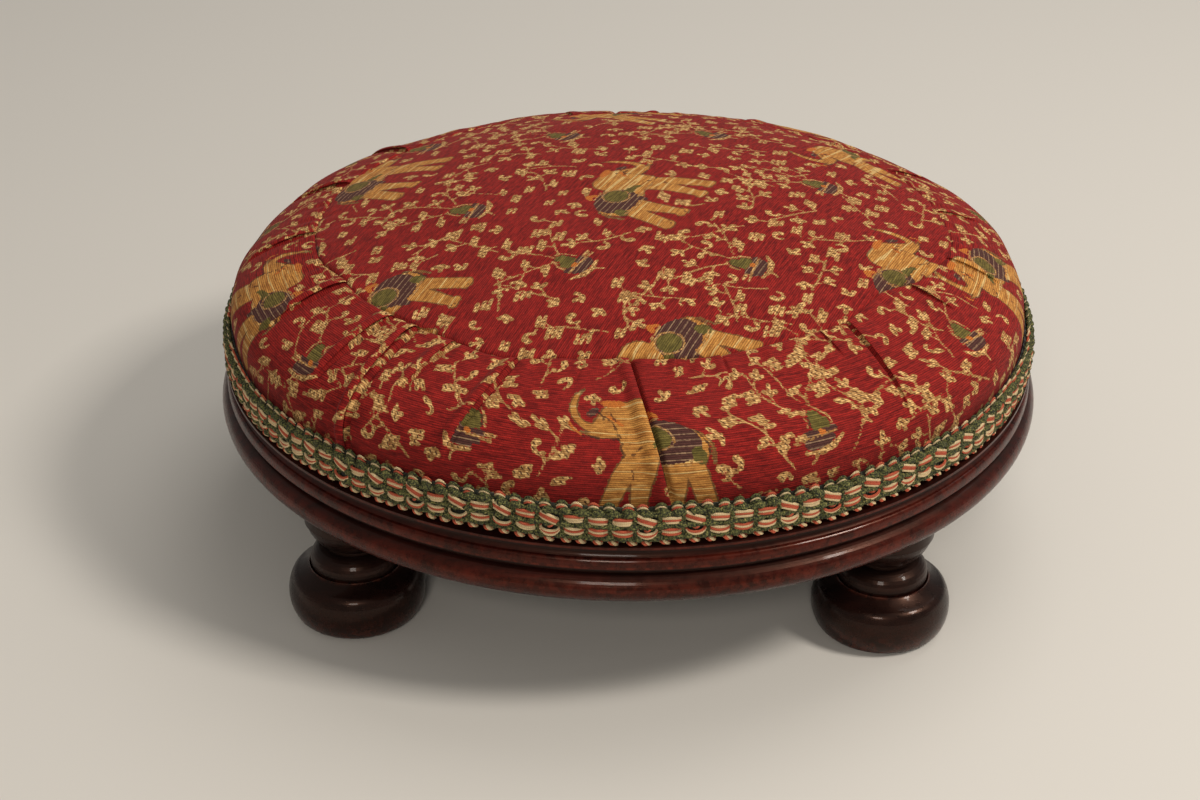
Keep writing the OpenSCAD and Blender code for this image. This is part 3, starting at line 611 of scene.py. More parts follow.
class Drawing:
    """A flat drawing: for each yarn colour, how far every point lies outside it, negative inside."""
    pitch, far = 0.4, 3.0
    yarns = ("gold", "leaf", "olive", "plum", "amber", "ink")

    def __init__(self, low, high):
        self.low = np.array(low, float)
        self.size = np.ceil((np.array(high) - self.low) / self.pitch).astype(int) + 1
        self.fields = {yarn: np.full(self.size, self.far) for yarn in self.yarns}

    def patch(self, low, high):
        """The part of the drawing between two corners, and the places of its points."""
        first = np.clip(np.floor((low - self.low) / self.pitch).astype(int), 0, self.size)
        last = np.clip(np.ceil((high - self.low) / self.pitch).astype(int) + 1, 0, self.size)
        lines = [self.low[axis] + self.pitch * np.arange(first[axis], last[axis]) for axis in (0, 1)]
        return tuple(map(slice, first, last)), np.stack(np.meshgrid(*lines, indexing="ij"), -1)

    def add(self, yarn, where, distance):
        field = self.fields[yarn]
        field[where] = np.minimum(field[where], distance)

    def stroke(self, yarn, points, radii):
        """A line of yarn through some points, as thick at each as twice its radius."""
        points = np.asarray(points, float)
        radii = np.broadcast_to(radii, len(points))
        for start, end, thick, thin in zip(points[:-1], points[1:], radii[:-1], radii[1:]):
            edge = max(thick, thin) + self.far
            where, spots = self.patch(np.minimum(start, end) - edge, np.maximum(start, end) + edge)
            way = end - start
            share = np.clip((spots - start) @ way / max(way @ way, 1e-9), 0, 1)
            gap = spots - start - share[..., None] * way
            self.add(yarn, where, np.hypot(gap[..., 0], gap[..., 1]) - thick - (thin - thick) * share)

    def oval(self, yarn, middle, half, turn, line):
        """A filled oval, or with a line thickness its outline only."""
        edge = max(half) + self.far
        where, spots = self.patch(middle - edge, middle + edge)
        gap = spots - middle
        cosine, sine = way_of(turn)
        across = (gap[..., 0] * cosine + gap[..., 1] * sine) / half[0]
        along = (gap[..., 1] * cosine - gap[..., 0] * sine) / half[1]
        distance = (np.hypot(across, along) - 1) * min(half)
        self.add(yarn, where, np.abs(distance) - line / 2 if line else distance)

    def figure(self, marks, place, scale=1.0, facing=1, lean=0.0):
        """Draws a figure's strokes (yarn, radii, points) and ovals (yarn, middle, half, turn, line thickness)
        at a scale, facing left or right. A lean moves it aside for each millimetre of height."""
        def at(points):
            points = np.array(points, float) * scale
            return place + points * (facing, 1) + points[:, 1:] * (lean, 0)

        strokes, ovals = marks
        for yarn, radii, *points in strokes:
            self.stroke(yarn, at(points), np.array(radii, float) * scale)
        for yarn, middle, half, turn, line in ovals:
            self.oval(yarn, at([middle])[0], np.array(half) * scale, facing * turn, line * scale)

    def read(self, yarn, places):
        """The drawing's distances at some places, read between its points."""
        spots = np.clip((places - self.low) / self.pitch, 0, self.size - 1.001)
        first = np.floor(spots).astype(int)
        share, field = spots - first, self.fields[yarn]
        low_side, high_side = (
            field[first[..., 0], first[..., 1] + up] * (1 - share[..., 0])
            + field[first[..., 0] + 1, first[..., 1] + up] * share[..., 0] for up in (0, 1))
        return low_side * (1 - share[..., 1]) + high_side * share[..., 1]


# A saddled elephant that faces left with its trunk up. Its legs stand apart, each with a foot and a toe line.
elephant_strokes = [
    ("gold", (8.4, 8.6, 8.9, 8.9), (-2.4, 4), (4, 1.4), (14, 0.2), (17, -1.5)),
    ("gold", (6.5, 6.9), (-8, 11.6), (-1.6, 11.2)),
    ("gold", (5.9, 4.4), (-12, 10.8), (-17.2, 7.5)),
    ("gold", 4.4, (-12.6, 5), (-12.9, -1.6)),
    ("gold", (4.5, 2.8, 2.2, 1.9, 1.7, 1.4, 0.5), (-17.4, 7.3), (-22.4, 5.6), (-26, 7.2), (-27.2, 11),
     (-26.8, 15.6), (-25.4, 20), (-23, 23.8)),
    ("gold", (2.3, 1.4, 0.6), (-15, 5), (-24, 3.5), (-29.6, 4.8)),
    ("gold", (1.1, 0.8, 0.7), (24.6, 3), (27, -2), (26.4, -8)),
    ("amber", 0.5, (-30, 3.8), (-31.6, 6.2), (-30.6, 8.6)),
    ("amber", 0.9, (-14.6, 11.4), (-12, 8.2)),
    ("amber", (1, 1.5, 0.9), (11.2, 11.3), (13.2, 13.3), (15.4, 11.4)),
    ("ink", 0.4, (-18.4, 13.6), (-15.4, 10.4), (-13, 9.4), (-13.2, 13)),
    ("ink", 0.5, (-18, 9.8), (-17, 10)),
    ("ink", 0.42, (-16.8, 2.6), (-20, 1.9), (-29.6, 3.3)),
    ("ink", 0.4, (-14.6, 9.4), (-16.2, 4), (-16.6, -4.4), (-13.2, -4.2), (-9.4, -1.2)),
    ("ink", 0.4, (-13, -9), (-12.4, -13)),
    ("ink", 0.4, (24.6, 4), (25.6, -2), (23.6, -9)),
    ("plum", (3.4, 1.6), (7, -4), (6.2, -8.4)),
    ("olive", (1.9, 1.4, 0.8), (1.8, 0.4), (-2, 0), (-5, -1.2)),
    ("leaf", 0.42, (-10, -5.2), (-2, -5.4), (5, -5)),
    ("leaf", 0.42, (7, -8), (14, -8.4), (22.6, -6.8)),
    ("leaf", 0.45, (7, 10.2), (15.6, 10)),
]
for hip, knee, (x, y), thick in (
    ((-10, -3), (-16.6, -12.5), (-20.8, -25), 3.4), ((-7.2, -3), (-9.4, -14), (-9.6, -26), 3.1),
    ((12, -6), (11.8, -15), (10.4, -26), 2.9), ((17.4, -4), (20.2, -14), (22.8, -25), 3.9),
):
    elephant_strokes += [
        ("gold", (4.9, 4.1, thick), hip, knee, (x, y)), ("gold", 2.1, (x - 1.9, y - 1.4), (x + 2.1, y - 1)),
        ("ink", 0.36, (x - 2.2, y - 1.2), (x - 0.6, y - 2.2)),
    ]
elephant = elephant_strokes, [
    ("amber", (-11.2, 17.1), (4.8, 1.6), -0.05, 0), ("plum", (-19.8, 13.4), (3, 1.3), 0.5, 0),
    ("plum", (12.6, 1.2), (11.4, 8.7), 0, 0), ("olive", (21.4, -5), (2.7, 3.3), 0.2, 0),
    ("olive", (8.4, 3.2), (5.4, 4.9), 0, 0), ("leaf", (8.4, 3.2), (6, 5.5), 0, 0.8),
]
# A clipped shrub with stepped shoulders in a banded tub, on a saucer that curls up at one end.
tub = [("olive", 0.95, (along, 1.2), (along, top)) for along, top in (
    (-2.3, 5.7), (-1.1, 6.7), (0.1, 6.4), (1.4, 4.2), (2.7, 3.4))] + [
    ("ink", 0.36, (-3.5, 1.4), (-3.5, 5.4)),
    ("leaf", 0.44, (-4.4, 1.6), (-4.3, 5.2), (-3.3, 7.2), (-2.2, 8)),
    ("leaf", 0.46, (1.7, 7.6), (2, 5.9), (3.6, 5.2), (4.3, 3.4), (4.6, 1.6)),
    ("plum", 0.95, (-5, -0.7), (5.4, 0.3)),
    ("plum", 1.45, (-4.2, -3.2), (4.4, -2.5)),
    ("plum", 1.25, (-3.1, -4.8), (3.6, -4.3)),
    ("leaf", 0.46, (-9, -3), (-4.4, -2.1), (5.8, -0.8)),
    ("leaf", 0.62, (-9, -1), (-5.6, -0.8)),
    ("leaf", (0.6, 0.85, 1.2, 0.5), (-4.6, -6.3), (0.4, -7), (5, -5.8), (8.8, -2.8)),
    ("leaf", 0.46, (-0.2, -7.4), (-0.4, -9), (-1.4, -10.6)),
    ("amber", 1.0, (0.4, -0.5), (1.2, -0.4)),
], []


class Sprigs:
    """Scatters sprigs and loose leaves over a drawing, clear of its figures and of one another."""
    solid, stem_step = ("gold", "olive", "plum"), 2.4

    def __init__(self, drawing, seed, tubs):
        self.drawing, self.chance = drawing, np.random.default_rng(seed)
        beside_tub = ((-7, -2), (5, -6), (-3, -6.5), (7, 1))
        self.leaves = [np.array(spot) + off for spot in tubs for off in beside_tub]

    def is_free(self, place, from_figure, from_leaf):
        low, high = self.drawing.low, self.drawing.low + self.drawing.size * self.drawing.pitch
        if np.any(place < low - 2) or np.any(place > high + 2):
            return False
        if min(self.drawing.read(yarn, place) for yarn in self.solid) < from_figure:
            return False
        return np.min(np.hypot(*(np.array(self.leaves) - place).T)) > from_leaf

    def leaf(self, place, heading):
        """A ragged leaf: bars of floating yarn stepped side by side, three lobes on a stalk, or a hook."""
        chance, kind = self.chance, self.chance.random()
        self.leaves.append(place)
        if kind < 0.42:
            bars, step = chance.integers(2, 4), chance.choice((-1, 1)) * chance.uniform(0.5, 1.3)
            for bar in range(bars):
                row = bar - (bars - 1) / 2
                middle = place + (row * step + chance.uniform(-0.5, 0.5), 1.8 * row)
                half = chance.uniform(1.4, 2.9) * np.array([1, 0.2])
                self.drawing.stroke("leaf", [middle - half, middle + half], chance.uniform(0.62, 0.86, 2))
            self.drawing.stroke("leaf", [place - (0.4 * step, 0.8), place + (0.4 * step, 0.8)], 0.5)
        elif kind < 0.78:
            for turn, length in ((-1.05, 2.4), (0.1, 3.2), (1.15, 2.5)):
                lobe = way_of(heading + turn + chance.uniform(-0.2, 0.2))
                tip = place + length * lobe * chance.uniform(0.85, 1.15)
                stalk = place - 0.8 * way_of(heading)
                self.drawing.stroke("leaf", [stalk, tip], [0.5, chance.uniform(0.8, 1.15)])
        else:
            turns = heading + chance.choice((-1, 1)) * np.linspace(0, chance.uniform(2.6, 4.2), 6)
            self.drawing.stroke("leaf", place + 2.1 * way_of(turns).T, [1.3, 1.1, 0.85, 0.7, 0.6, 0.45])

    def sprig(self, place, heading, length):
        """A curving stem with leaves on short twigs to either side of it."""
        chance, place, points = self.chance, np.array(place, float), []
        curl, side = chance.uniform(-0.05, 0.05), chance.choice((-1, 1))
        for step in range(int(length / self.stem_step)):
            points.append(place)
            heading += curl + chance.uniform(-0.16, 0.16)
            place = place + self.stem_step * way_of(heading)
            if not self.is_free(place, 1.6, 0):
                break
            if step % 2 == 1:
                side = -side
                lean = heading + side * chance.uniform(0.7, 1.2)
                tip = place + way_of(lean) * chance.uniform(2.2, 4.2)
                if self.is_free(tip + 1.2 * way_of(lean), 2.8, 5.7):
                    self.drawing.stroke("leaf", [place, tip], [0.42, 0.36])
                    self.leaf(tip + 1.4 * way_of(lean), lean)
        if len(points) > 2:
            self.drawing.stroke("leaf", points, 0.38)
            if self.is_free(points[-1], 2.4, 4.2):
                self.leaf(points[-1], heading)

    def fill(self, low, high, step=22):
        """Stems on a loose lattice, then hooks and single leaves wherever room is left."""
        chance = self.chance
        for row, v in enumerate(np.arange(low[1] + 2, high[1], step * 0.82)):
            for u in np.arange(low[0] + (row % 2) * step / 2, high[0], step):
                start = np.array([u, v]) + chance.uniform(-4.5, 4.5, 2)
                if self.is_free(start, 2.2, 3.5):
                    self.sprig(start, chance.choice((0.3, 1.2, 2.0, 2.8)) + chance.uniform(-0.5, 0.5), 26)
        for _ in range(int((high[0] - low[0]) * (high[1] - low[1]) / 7)):
            spot = chance.uniform(low, high)
            if self.is_free(spot, 2.95, 7.8):
                self.leaf(spot, chance.uniform(0, 6.3))


rib_lean = math.radians(68)
panel_right, panel_up = way_of(rib_lean), way_of(rib_lean + math.pi / 2)
panel_reach = 124
panel_corners = ((-panel_reach, -panel_reach), (panel_reach, panel_reach))
panel_drawing = Drawing(*panel_corners)
elephant_scale = 0.88
panel_tubs = (
    (-37, 46), (-61, -7), (-34, -61), (74, -3), (43, -60), (43, 47), (-70, 98), (-64, -110), (30, 102),
)
for along, up, facing in (
    (-3.2, -2.7, -1), (-0.3, -107.8, -1), (-101.6, 46.9, 1), (-94.5, -56.4, 1), (-7.7, 104.4, -1),
    (96, 48, 1), (93, -57, 1),
):
    panel_drawing.figure(elephant, (along, up), elephant_scale, facing)
for number, place in enumerate(panel_tubs):
    panel_drawing.figure(tub, place, facing=(1, -1)[number % 2])
panel_sprigs = Sprigs(panel_drawing, 11, panel_tubs)
for along, up in panel_tubs:
    for off, lean in ((-3, 2.4), (3.4, 0.8), (0.4, 1.5)):
        panel_sprigs.sprig((along + off, up + 7.4), lean, 24)
panel_sprigs.fill(*panel_corners)


def make_tapestry():
    """Crimson ribbed weave. The figure's colours come from the distances kept on the cloth's points."""
    rib_pitch, pick_pitch = 0.74, 0.8
    material, shader = new_material(
        "tapestry", dye(140, 30, 38), Roughness=0.85, Sheen_Weight=0.08, Sheen_Roughness=0.4,
        Sheen_Tint=dye(225, 150, 140), Specular_IOR_Level=0.2)
    cloth = kept_vector(shader, "cloth")
    u, v, _ = cloth.parts()
    gold, leaf, olive, plum, amber, ink = (
        distance for name in ("yarns_1", "yarns_2") for distance in kept_vector(shader, name).parts())
    rib = v / rib_pitch
    pick = u / pick_pitch + rib.floor() % 2 * 0.5
    cell = rib.then("CombineXYZ", {"X": pick.floor(), "Y": rib.floor()})[0]
    scatter = cell.then("TexWhiteNoise", {"Vector": cell}, noise_dimensions="3D")[0]
    ragged = (scatter - 0.5) * 0.5
    streaks = cloth.stretched((0.16, 1.2, 1)).noise(1.0, 3, 0.65)
    round_rib, round_pick = (abs((value * math.pi).sine()) for value in (rib, pick))
    relief = round_rib.power(0.7) * round_pick.eased(0, 0.6, 0.72, 1)

    def inside(distance):
        return (distance + ragged).eased(0.14, -0.14)

    def stripes(pitch, wander):
        return (v * (2 * math.pi / pitch) + wander).sine()

    fading = cloth.noise(0.028, 3, 0.6).eased(0.35, 0.7, 0, 0.35)
    colour = streaks.eased(0.28, 0.72).between(dye(90, 7, 6), dye(158, 33, 26))
    colour = fading.between(colour, dye(146, 34, 30))
    body = streaks.eased(0.3, 0.7).between(dye(150, 92, 38), dye(206, 146, 72))
    wander = cloth.stretched((0.02, 0.2, 1)).noise(1.0, 2) * 15
    body = stripes(4.6, wander).eased(0.8, 0.95, 0, 0.7).between(body, dye(218, 186, 122))
    outline = gold.eased(-0.75, -0.35) * gold.eased(0.3, 0.0) * 0.7
    body = outline.between(body, dye(70, 40, 28))
    lines = (stripes(2.05, 0) + ragged * 0.5).eased(0.72, 0.95, 0, 0.55)
    blanket = lines.between(dye(76, 44, 38), dye(172, 140, 106))
    green = streaks.eased(0.35, 0.65).between(dye(78, 68, 28), dye(116, 102, 48))
    tick_row = v / 1.7
    tick_run = u / 2.2 + tick_row.floor() * 0.37 + tick_row * 0.55
    off_row, off_run = (abs(value.fraction() - 0.5) for value in (tick_row, tick_run))
    ticks = off_row.eased(0.38, 0.26) * off_run.eased(0.18, 0.1) * leaf.eased(-0.05, -0.3)
    leaves = scatter.eased(0, 1).between(dye(158, 110, 60), dye(222, 178, 114))
    leaves = (ticks * 0.85).between(leaves, dye(58, 28, 22))
    for distance, yarn in (
        (gold, body), (plum, blanket), (olive, green), (leaf, leaves), (amber, dye(188, 106, 42)),
    ):
        colour = inside(distance).between(colour, yarn)
    colour = (inside(ink) * 0.75).between(colour, dye(60, 30, 26))
    # Painted shade: the hollows between ribs and picks are darker, and so is the cloth toward the braid,
    # below 98 mm. Each rib cell also varies a little at random.
    shade_toward_braid = place_in_mm(shader).parts()[2].eased(78, 98, 0.74, 1)
    shade = relief.eased(0.1, 0.8, 0.5, 1.12) * shade_toward_braid * scatter.eased(0, 1, 0.88, 1.1)
    dress(shader, colour.scaled(shade), relief + streaks * 0.8, 0.16, 0.7)
    return material


tapestry = make_tapestry()


# The cover's round top panel, cut from the tapestry and sewn inside out to the band, so that both turn down
# into the seam. The seam wanders a little, and the gathers of the band pucker the panel's edge.
seam_places = (
    (-174, 114.5), (-162, 113.6), (-152, 109.4), (-144, 110.5), (-134, 109.2), (-119, 109.6), (-110, 112.2),
    (-100, 108.3), (-88, 106.6), (-76, 108.2), (-56, 106.7), (-46, 108.1), (-32, 103.9), (-23, 111.3),
    (-5.5, 118), (15, 116), (45, 113), (75, 114), (105, 112), (135, 113), (160, 114),
)
panel_cut_radius, panel_cells = 123, 292


def lay_figure(piece, drawing, places):
    """Keeps the cloth's own millimetres and the drawing's distances on the points of a piece."""
    distances = [drawing.read(yarn, places) for yarn in drawing.yarns]
    for name, columns in (("cloth", (*places.T, 0)), ("yarns_1", distances[:3]), ("yarns_2", distances[3:])):
        keep_vectors(piece, name, columns)


def on_pad(walk, angle, lift):
    """Points at a distance walked from the pad's middle, an angle round it and a height off its line."""
    (radius, height), (out, up) = on_line(walk, pad_points), on_line(walk, pad_normals)
    radius = radius + lift * out
    return np.stack([radius * np.cos(angle), radius * np.sin(angle), height + lift * up], -1)


def seam_walk(angle):
    """How far the seam is from the pad's middle at an angle in radians, along the pad."""
    table = np.concatenate([np.array(seam_places) + (turn, 0) for turn in (-360, 0, 360)])
    degrees = np.arange(-540, 540, 1.0)
    smooth = np.convolve(np.interp(degrees, *table.T), np.hanning(13) / np.hanning(13).sum(), "same")
    radius = np.interp((np.degrees(angle) + 180) % 360 - 180, degrees, smooth)
    return np.interp(radius, pad_points[:, 0], pad_walk)


def puckers(angle):
    """The small gathers along the seam, from -1 to 1, unevenly spaced."""
    wide = np.sin(74 * angle + 2.4 * np.sin(5 * angle))
    return 0.6 * wide + 0.4 * np.sin(121 * angle + 3 * np.sin(3 * angle + 1))


def panel_lift(inward, angle, x, y):
    """Height of the panel off the pad's line, by the distance inward from the seam, over uneven stuffing."""
    lift = 0.05 * np.exp(-((inward - 3) / 3) ** 2) - 0.5 * np.exp(-(inward / 0.6) ** 2)
    lift += puckers(angle) * (0.5 * np.exp(-inward / 5.5)) * (0.35 + 0.65 * np.sin(angle * 7 + 1) ** 2)
    lumps = np.sin(x / 17 + 0.6 * np.sin(y / 23)) * np.sin(y / 19 + 1.3) + 0.5 * np.sin((x + y) / 11 + 2)
    return lift + lumps / 3


side = np.linspace(-1, 1, panel_cells + 1)
square_x, square_y = (grid.ravel() for grid in np.meshgrid(side, side, indexing="ij"))
disc_x, disc_y = square_x * np.sqrt(1 - square_y ** 2 / 2), square_y * np.sqrt(1 - square_x ** 2 / 2)
share, angle = np.hypot(disc_x, disc_y), np.arctan2(disc_y, disc_x)
edge, line = panel_cells + 1, np.arange(panel_cells)
rim = np.concatenate([
    line * edge, panel_cells * edge + line, (panel_cells - line) * edge + panel_cells, panel_cells - line])
reach = seam_walk(angle)
walk = share * reach
flat = [np.stack([walk * np.cos(angle), walk * np.sin(angle)], 1)]
points = [on_pad(walk, angle, panel_lift(reach - walk, angle, *flat[0].T))]
faces = [grid_faces(edge, edge, flip=True)]
ring, reach, angle = rim, reach[rim], angle[rim]
for out, lift in ((0.25, -1.5), (0.1, -2.1), (-1.2, -2.5), (-3.2, -2.6), (-6, -2.7)):
    next_ring = sum(map(len, points)) + np.arange(len(rim))
    points.append(on_pad(reach + out, angle, lift + 0.15 * puckers(angle)))
    far_out = reach + 1 + 0.5 * abs(out)
    flat.append(np.stack([far_out * np.cos(angle), far_out * np.sin(angle)], 1))
    faces.append(np.stack([ring, next_ring, np.roll(next_ring, -1), np.roll(ring, -1)], 1))
    ring = next_ring
top_panel = add_piece("top_panel", np.concatenate(points), np.concatenate(faces), tapestry)
lay_figure(top_panel, panel_drawing, np.concatenate(flat) @ np.stack([panel_right, panel_up], 1))
stands_for(top_panel, "cover_top_panel")


# The cover's side band: a strip of the same tapestry, longer than the seam, so that its upper edge is laid in
# tucks and gathers and its lower edge lies smooth on the wall. Its two ends are sewn together at the back.
band_length, band_height, band_start = 2 * math.pi * widest_radius, 72, 95
# Each tuck is (azimuth at the seam, cloth it hides there, how far it runs down the band, the side it leans
# to, how many degrees it drifts as it runs down, how high its lip stands).
tucks = (
    (104, 3.5, 20, 1, 0, 0.7), (125, 3.5, 20, -1, 2, 0.7), (143, 7, 34, 1, -2, 1.5),
    (162, 6, 30, 1, 1, 1.6), (185, 6, 32, 1, 0, 1.5), (209.5, 8, 34, 1, -1, 2.6),
    (226, 7.5, 38, 1, -1.5, 2.8), (232.5, 9.5, 72, 1, 1, 3.4), (241, 6, 30, 1, -2.5, 2.0),
    (253.4, 7, 44, 1, -5, 2.4), (264.5, 2.4, 13, 1, -1, 0.7), (272.2, 12, 84, 1, 6, 2.0),
    (280, 2.2, 10, 1, 0, 0.6), (288, 3.5, 15, 1, 0, 0.8), (308, 2.6, 14, -1, 0, 0.4),
    (314.4, 5.5, 42, -1, -3, 0.6), (334, 4.5, 20, -1, 0, 0.9), (350, 5, 26, -1, 0, 0.8),
    (370, 4, 22, -1, 1, 0.8), (389, 4.5, 24, -1, 0, 0.8), (407, 3.5, 20, 1, -1, 0.7),
    (428, 5, 28, 1, 0, 0.9), (446, 3.5, 18, -1, 0, 0.7),
)


def hidden_at(below):
    """The cloth that each tuck hides, at some distances below the seam."""
    return [hidden * np.clip(1 - (below / run) ** 2, 0, 1) ** 1.2 for _, hidden, run, *_ in tucks]


def strip_start(below):
    """The azimuth where the strip begins. It slants a little as it runs down."""
    return band_start - 2.2 * np.clip(below / 60, 0, 1)


def tuck_starts(below):
    """Where on the strip each tuck begins at some distances below the seam, in millimetres from its end."""
    hidden = hidden_at(below)
    shown, passed, starts = band_length - sum(hidden), 0.0, []
    for here, (azimuth, _, run, _, drift, _) in zip(hidden, tucks):
        drifted = azimuth + drift * np.clip(below / min(run, 60), 0, 1)
        starts.append((drifted - strip_start(below)) / 360 * shown + passed)
        passed = passed + here
    return starts


def soft_step(value, softness=0.35):
    """Zero below zero and the value itself above, with a rounded corner between."""
    return softness * np.logaddexp(0, value / softness)


def smooth_share(value):
    """A share from 0 to 1 that starts and ends gently."""
    value = np.clip(value, 0, 1)
    return value * value * (3 - 2 * value)


def fold_band(strip, below):
    """Turns places of the strip, and distances below the seam, into angles and heights off the pad's line."""
    shift, lift = np.zeros_like(strip), np.zeros_like(strip)
    for start, hidden, (_, deepest, _, lean, _, lip) in zip(tuck_starts(below), hidden_at(below), tucks):
        into = strip - start if lean > 0 else hidden - (strip - start)
        moved = soft_step(2 * into) - soft_step(2 * into - hidden)
        shift += moved if lean > 0 else hidden - moved
        open_share = (hidden / deepest) ** 0.6
        rolled = 1.25 + 0.35 * lip
        rise = smooth_share((into + 6.2) / (6.2 - rolled))
        fall = 1 - smooth_share((into + rolled) / (np.maximum(hidden / 2, 1.3) + rolled))
        top = lip * open_share * (0.4 + 0.6 * np.clip(below / 7, 0, 1))
        crease = min(deepest / 8, 1.1) * open_share
        lift += top * np.where(into < -rolled, rise, fall)
        lift -= 2.1 * crease * np.exp(-((into - hidden - 0.3) / (0.4 + 0.04 * deepest)) ** 2)
        lift -= 0.4 * crease * np.exp(-((into - hidden - 1.5) / 3) ** 2)
    turn = 2 * math.pi * (strip - shift) / (band_length - sum(hidden_at(below)))
    return np.radians(strip_start(below)) + turn, lift


def uneven_columns(fine_step=0.05, wide_pitch=0.82, tuck_pitch=0.5):
    """Places along the strip, closer together through the tucks."""
    fine, levels = np.arange(0, band_length, fine_step), np.linspace(0, 60, 25)
    density = np.full(len(fine), 1 / wide_pitch)
    for (_, hidden, run, *_), starts in zip(tucks, tuck_starts(levels)):
        reached = starts[levels <= run]
        density[(fine > reached.min() - 2.5) & (fine < reached.max() + hidden + 2.5)] = 1 / tuck_pitch
    count = np.cumsum(density) * fine_step
    columns = np.interp(np.arange(0, count[-1], 1.0), count, fine)
    return np.concatenate([[0], columns[1:], [band_length]])


def band_surface(strip, below, from_seam):
    """Points of the band for places along the strip and shares of the way down from the seam."""
    angle, lift = fold_band(strip, below)
    top, degrees = seam_walk(angle), np.degrees(angle)
    length = pad_walk[-1] - top
    lift = lift * np.clip(0.45 + below / 6, 0, 1) - 0.6 * np.exp(-(below / 0.6) ** 2)
    lift += puckers(angle) * 0.75 * np.exp(-below / 7) * (1 - np.exp(-(below + 0.4) / 1.5))
    swell = 0.7 * np.sin(degrees / 7.3 + 0.5 * np.sin(degrees / 3.1))
    lift += swell * np.sin(np.pi * np.clip(from_seam, 0, 1)) ** 2
    lift -= 0.9 * np.exp(-(np.minimum(strip, band_length - strip) / 1.1) ** 2)
    behind_braid = np.clip((from_seam * length - (length - 15.5)) / 3, 0, 1)
    return on_pad(top + from_seam * length, angle, lift * (1 - behind_braid)), length


columns = uneven_columns()
band_run = pad_walk[-1] - np.interp(seam_radius, pad_points[:, 0], pad_walk)
rows = np.concatenate([
    [0, 0.35, 0.8, 1.4, 2.1], np.arange(2.9, band_run - 15, 0.86), band_run - np.array([13, 9, 4, 0])])
strip, below = np.meshgrid(columns, rows)
points, lengths = band_surface(strip, below, below / band_run)
heights = (1 - below / band_run) * lengths
at_seam = fold_band(columns, np.zeros_like(columns))[0]
turned_in = ((4, -3.1, 4), (1.2, -2.9, 1.5), (0.2, -2.3, 0.6))
under = [on_pad(seam_walk(at_seam) + 0.3 - into, at_seam, drop) for into, drop, _ in turned_in]
points = np.concatenate([under, points])
heights = np.concatenate([[heights[0] + more for _, _, more in turned_in], heights])
strip = np.concatenate([strip[:3], strip])

band_drawing = Drawing((0, 0), (band_length, band_height))


def on_band(azimuth, height):
    """Where a place on the stool's side falls on the strip: an azimuth and a height up the cloth."""
    row = np.argmin(np.abs(heights[3:, 0] - height))
    angles = np.degrees(np.unwrap(fold_band(columns, np.full(len(columns), rows[row]))[0]))
    return np.array([np.interp(azimuth, np.maximum.accumulate(angles), columns), height])


for azimuth, height in ((130, 40), (203.6, 40.5), (353.2, 43.5), (424, 40)):
    band_drawing.figure(elephant, on_band(azimuth, height) - (8, 2.8), elephant_scale)
band_drawing.figure(elephant, (on_band(268.0, 48)[0] + 14.2, 32.6), elephant_scale)
band_tubs = (
    (221.4, 34.8), (251, 32.7), (297.3, 30.4), (329.1, 37.3), (175, 33), (148, 36), (106, 34), (375, 32),
    (398, 35), (446, 34),
)
for number, (azimuth, height) in enumerate(band_tubs):
    aside = on_band(azimuth, height + 7)[0] - on_band(azimuth, height - 5)[0]
    band_drawing.figure(tub, on_band(azimuth, height), facing=(1, -1)[number % 2], lean=aside / 12)
band_sprigs = Sprigs(band_drawing, 5, [on_band(*place) for place in band_tubs])
for place in band_tubs:
    for off, lean in ((-3, 2.3), (3.2, 0.9)):
        band_sprigs.sprig(on_band(*place) + (off, 7.4), lean, 22)
band_sprigs.fill((0, 0), (band_length, 70))

side_band = add_piece("side_band", points, grid_faces(*strip.shape, flip=True), tapestry)
lay_figure(side_band, band_drawing, np.stack([strip.ravel(), heights.ravel()], 1))
stands_for(side_band, "cover_side_band")
finish_node("cover_tacks", steel)


# The gimp: a woven braid glued and pinned round the foot of the cover. Green chenille cords run along it,
# twisted green wraps divide it into cells, and cream and coral strands cross each cell or loop through it.
braid_radius, braid_cells, braid_picots, braid_stations = 146.1, 122, 182, 1000
cord_pitch, twist_pitch, wrap_turns, bundle_radius = 0.62, 1.1, 2.2, 0.5
braid_round = 2 * math.pi * (braid_radius + 1)
braid_chance = np.random.default_rng(31)
# The kind of each strand says its yarn: 0 is green, 1 is coral and 2 is cream.
green_yarn, coral_yarn, cream_yarn = 0, 1, 2
straight_orders = ((2, 1, 2), (2, 1, 2), (1, 2, 1), (2, 2, 1))
loop_orders = ((2, 1), (2, 1, 2), (1, 2))
picot_orders = ((2, 1, 0), (1, 2, 0), (0, 2, 0), (0, 2, 1))


def braid_point(along, height, out):
    """A place on the braid: distance along it from the back, height above the floor, distance off cover."""
    turn = 2 * np.pi * along / braid_round
    waver = 0.45 * np.sin(5 * turn + 0.8) + 0.3 * np.sin(13 * turn + 2) + 0.15 * np.sin(29 * turn)
    angle, radius = math.pi / 2 + turn, braid_radius + out
    return np.stack(np.broadcast_arrays(radius * np.cos(angle), radius * np.sin(angle), height + waver), -1)


